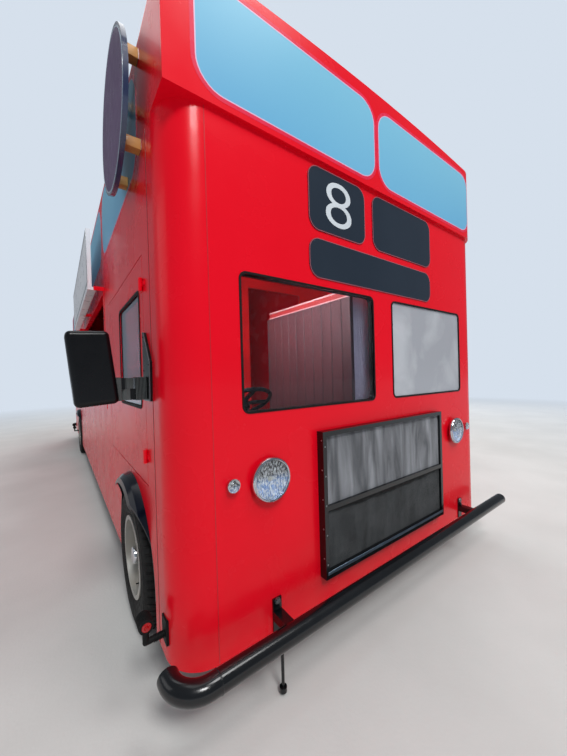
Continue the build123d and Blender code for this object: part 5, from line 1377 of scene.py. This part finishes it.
def lamp(name, place, target, size, power, mirrored, seen):
    """Rectangular area lamp that faces its target."""
    data = bpy.data.lights.new(name, "AREA")
    data.shape = "RECTANGLE"
    data.size, data.size_y = size
    data.energy = power
    made = show(name, data)
    made.location = place
    made.rotation_mode = "QUATERNION"
    made.rotation_quaternion = (Vector(target) - Vector(place)).to_track_quat("-Z", "Y")
    made.visible_glossy = mirrored
    made.visible_transmission = seen


def floor_look():
    """Pale concrete that turns into the backdrop's colour far away from the bus."""
    look = Look("studio_floor", {SHINE: 0.0, "Emission Color": BACKDROP})
    squares = [look.maths("MULTIPLY", look.axis(letter), look.axis(letter)) for letter in "XY"]
    far = look.fit(look.maths("SQRT", look.maths("ADD", *squares)), *FLOOR_FADE)
    tone = look.blend(look.fit(look.noise(1.2), 0.35, 0.65), (206, 205, 202), (198, 197, 194))
    look.colour(look.mix(far, tone, light(0, 0, 0)))
    look.join(far, look.shader.inputs["Emission Strength"])
    look.gloss(6.0, 0.7, 0.85)
    look.bump(look.noise(60.0, 2.0), 0.001)
    return look


def studio_world():
    """Pale backdrop, dimmer in mirrored rays, that lights the scene softly."""
    world = bpy.data.worlds.new("studio")
    world.use_nodes = True
    bpy.context.scene.world = world
    tree = world.node_tree

    def background(colour, strength):
        made = tree.nodes.new("ShaderNodeBackground")
        made.inputs["Color"].default_value = colour
        made.inputs["Strength"].default_value = strength
        return made.outputs[0]

    def joined(kind, *sources):
        made = tree.nodes.new(kind)
        for source, socket in zip(sources, made.inputs):
            tree.links.new(source, socket)
        return made

    shown = tree.nodes["Background"]
    shown.inputs["Color"].default_value = BACKDROP
    soft = background(SOFT_LIGHT, SOFT_STRENGTH)
    dim = background(BACKDROP, MIRRORED_STRENGTH)
    ray = tree.nodes.new("ShaderNodeLightPath").outputs
    either = joined("ShaderNodeMath", ray["Is Camera Ray"], ray["Is Transmission Ray"])
    either.operation = "MAXIMUM"
    others = joined("ShaderNodeMixShader", ray["Is Glossy Ray"], soft, dim)
    choose = joined("ShaderNodeMixShader", either.outputs[0], others.outputs[0], shown.outputs[0])
    tree.links.new(choose.outputs[0], tree.nodes["World Output"].inputs["Surface"])


def stage():
    """Pale floor, soft lamps and a pale world."""
    look = floor_look()
    mesh = bpy.data.meshes.new("studio_floor")
    corners = [(-FLOOR_HALF, -FLOOR_HALF), (FLOOR_HALF, -FLOOR_HALF), (FLOOR_HALF, FLOOR_HALF),
               (-FLOOR_HALF, FLOOR_HALF)]
    mesh.from_pydata([(x, y, z) for z in (0, -FLOOR_THICK) for x, y in corners], [],
                     [(0, 1, 2, 3), (4, 7, 6, 5), (0, 1, 5, 4), (1, 2, 6, 5), (2, 3, 7, 6),
                      (3, 0, 4, 7)])
    mesh.materials.append(look.material)
    floor = show("studio_floor", mesh)
    for row in LAMPS:
        lamp(*row)
    studio_world()


for build in (dress_frame, camera, stage, painted_windows, sign_outlines, route_number,
              grille_cloths, grille_trim, lamp_lenses, lamp_trim, bumper_welds, bracket_bolts,
              mirrors, tyres, wheel_trim, cab_doors, markers, round_signs, seams, cab_rails,
              cab_curtain, hatch_trim, seat):
    build()

bpy.context.scene.view_settings.view_transform = "Standard"
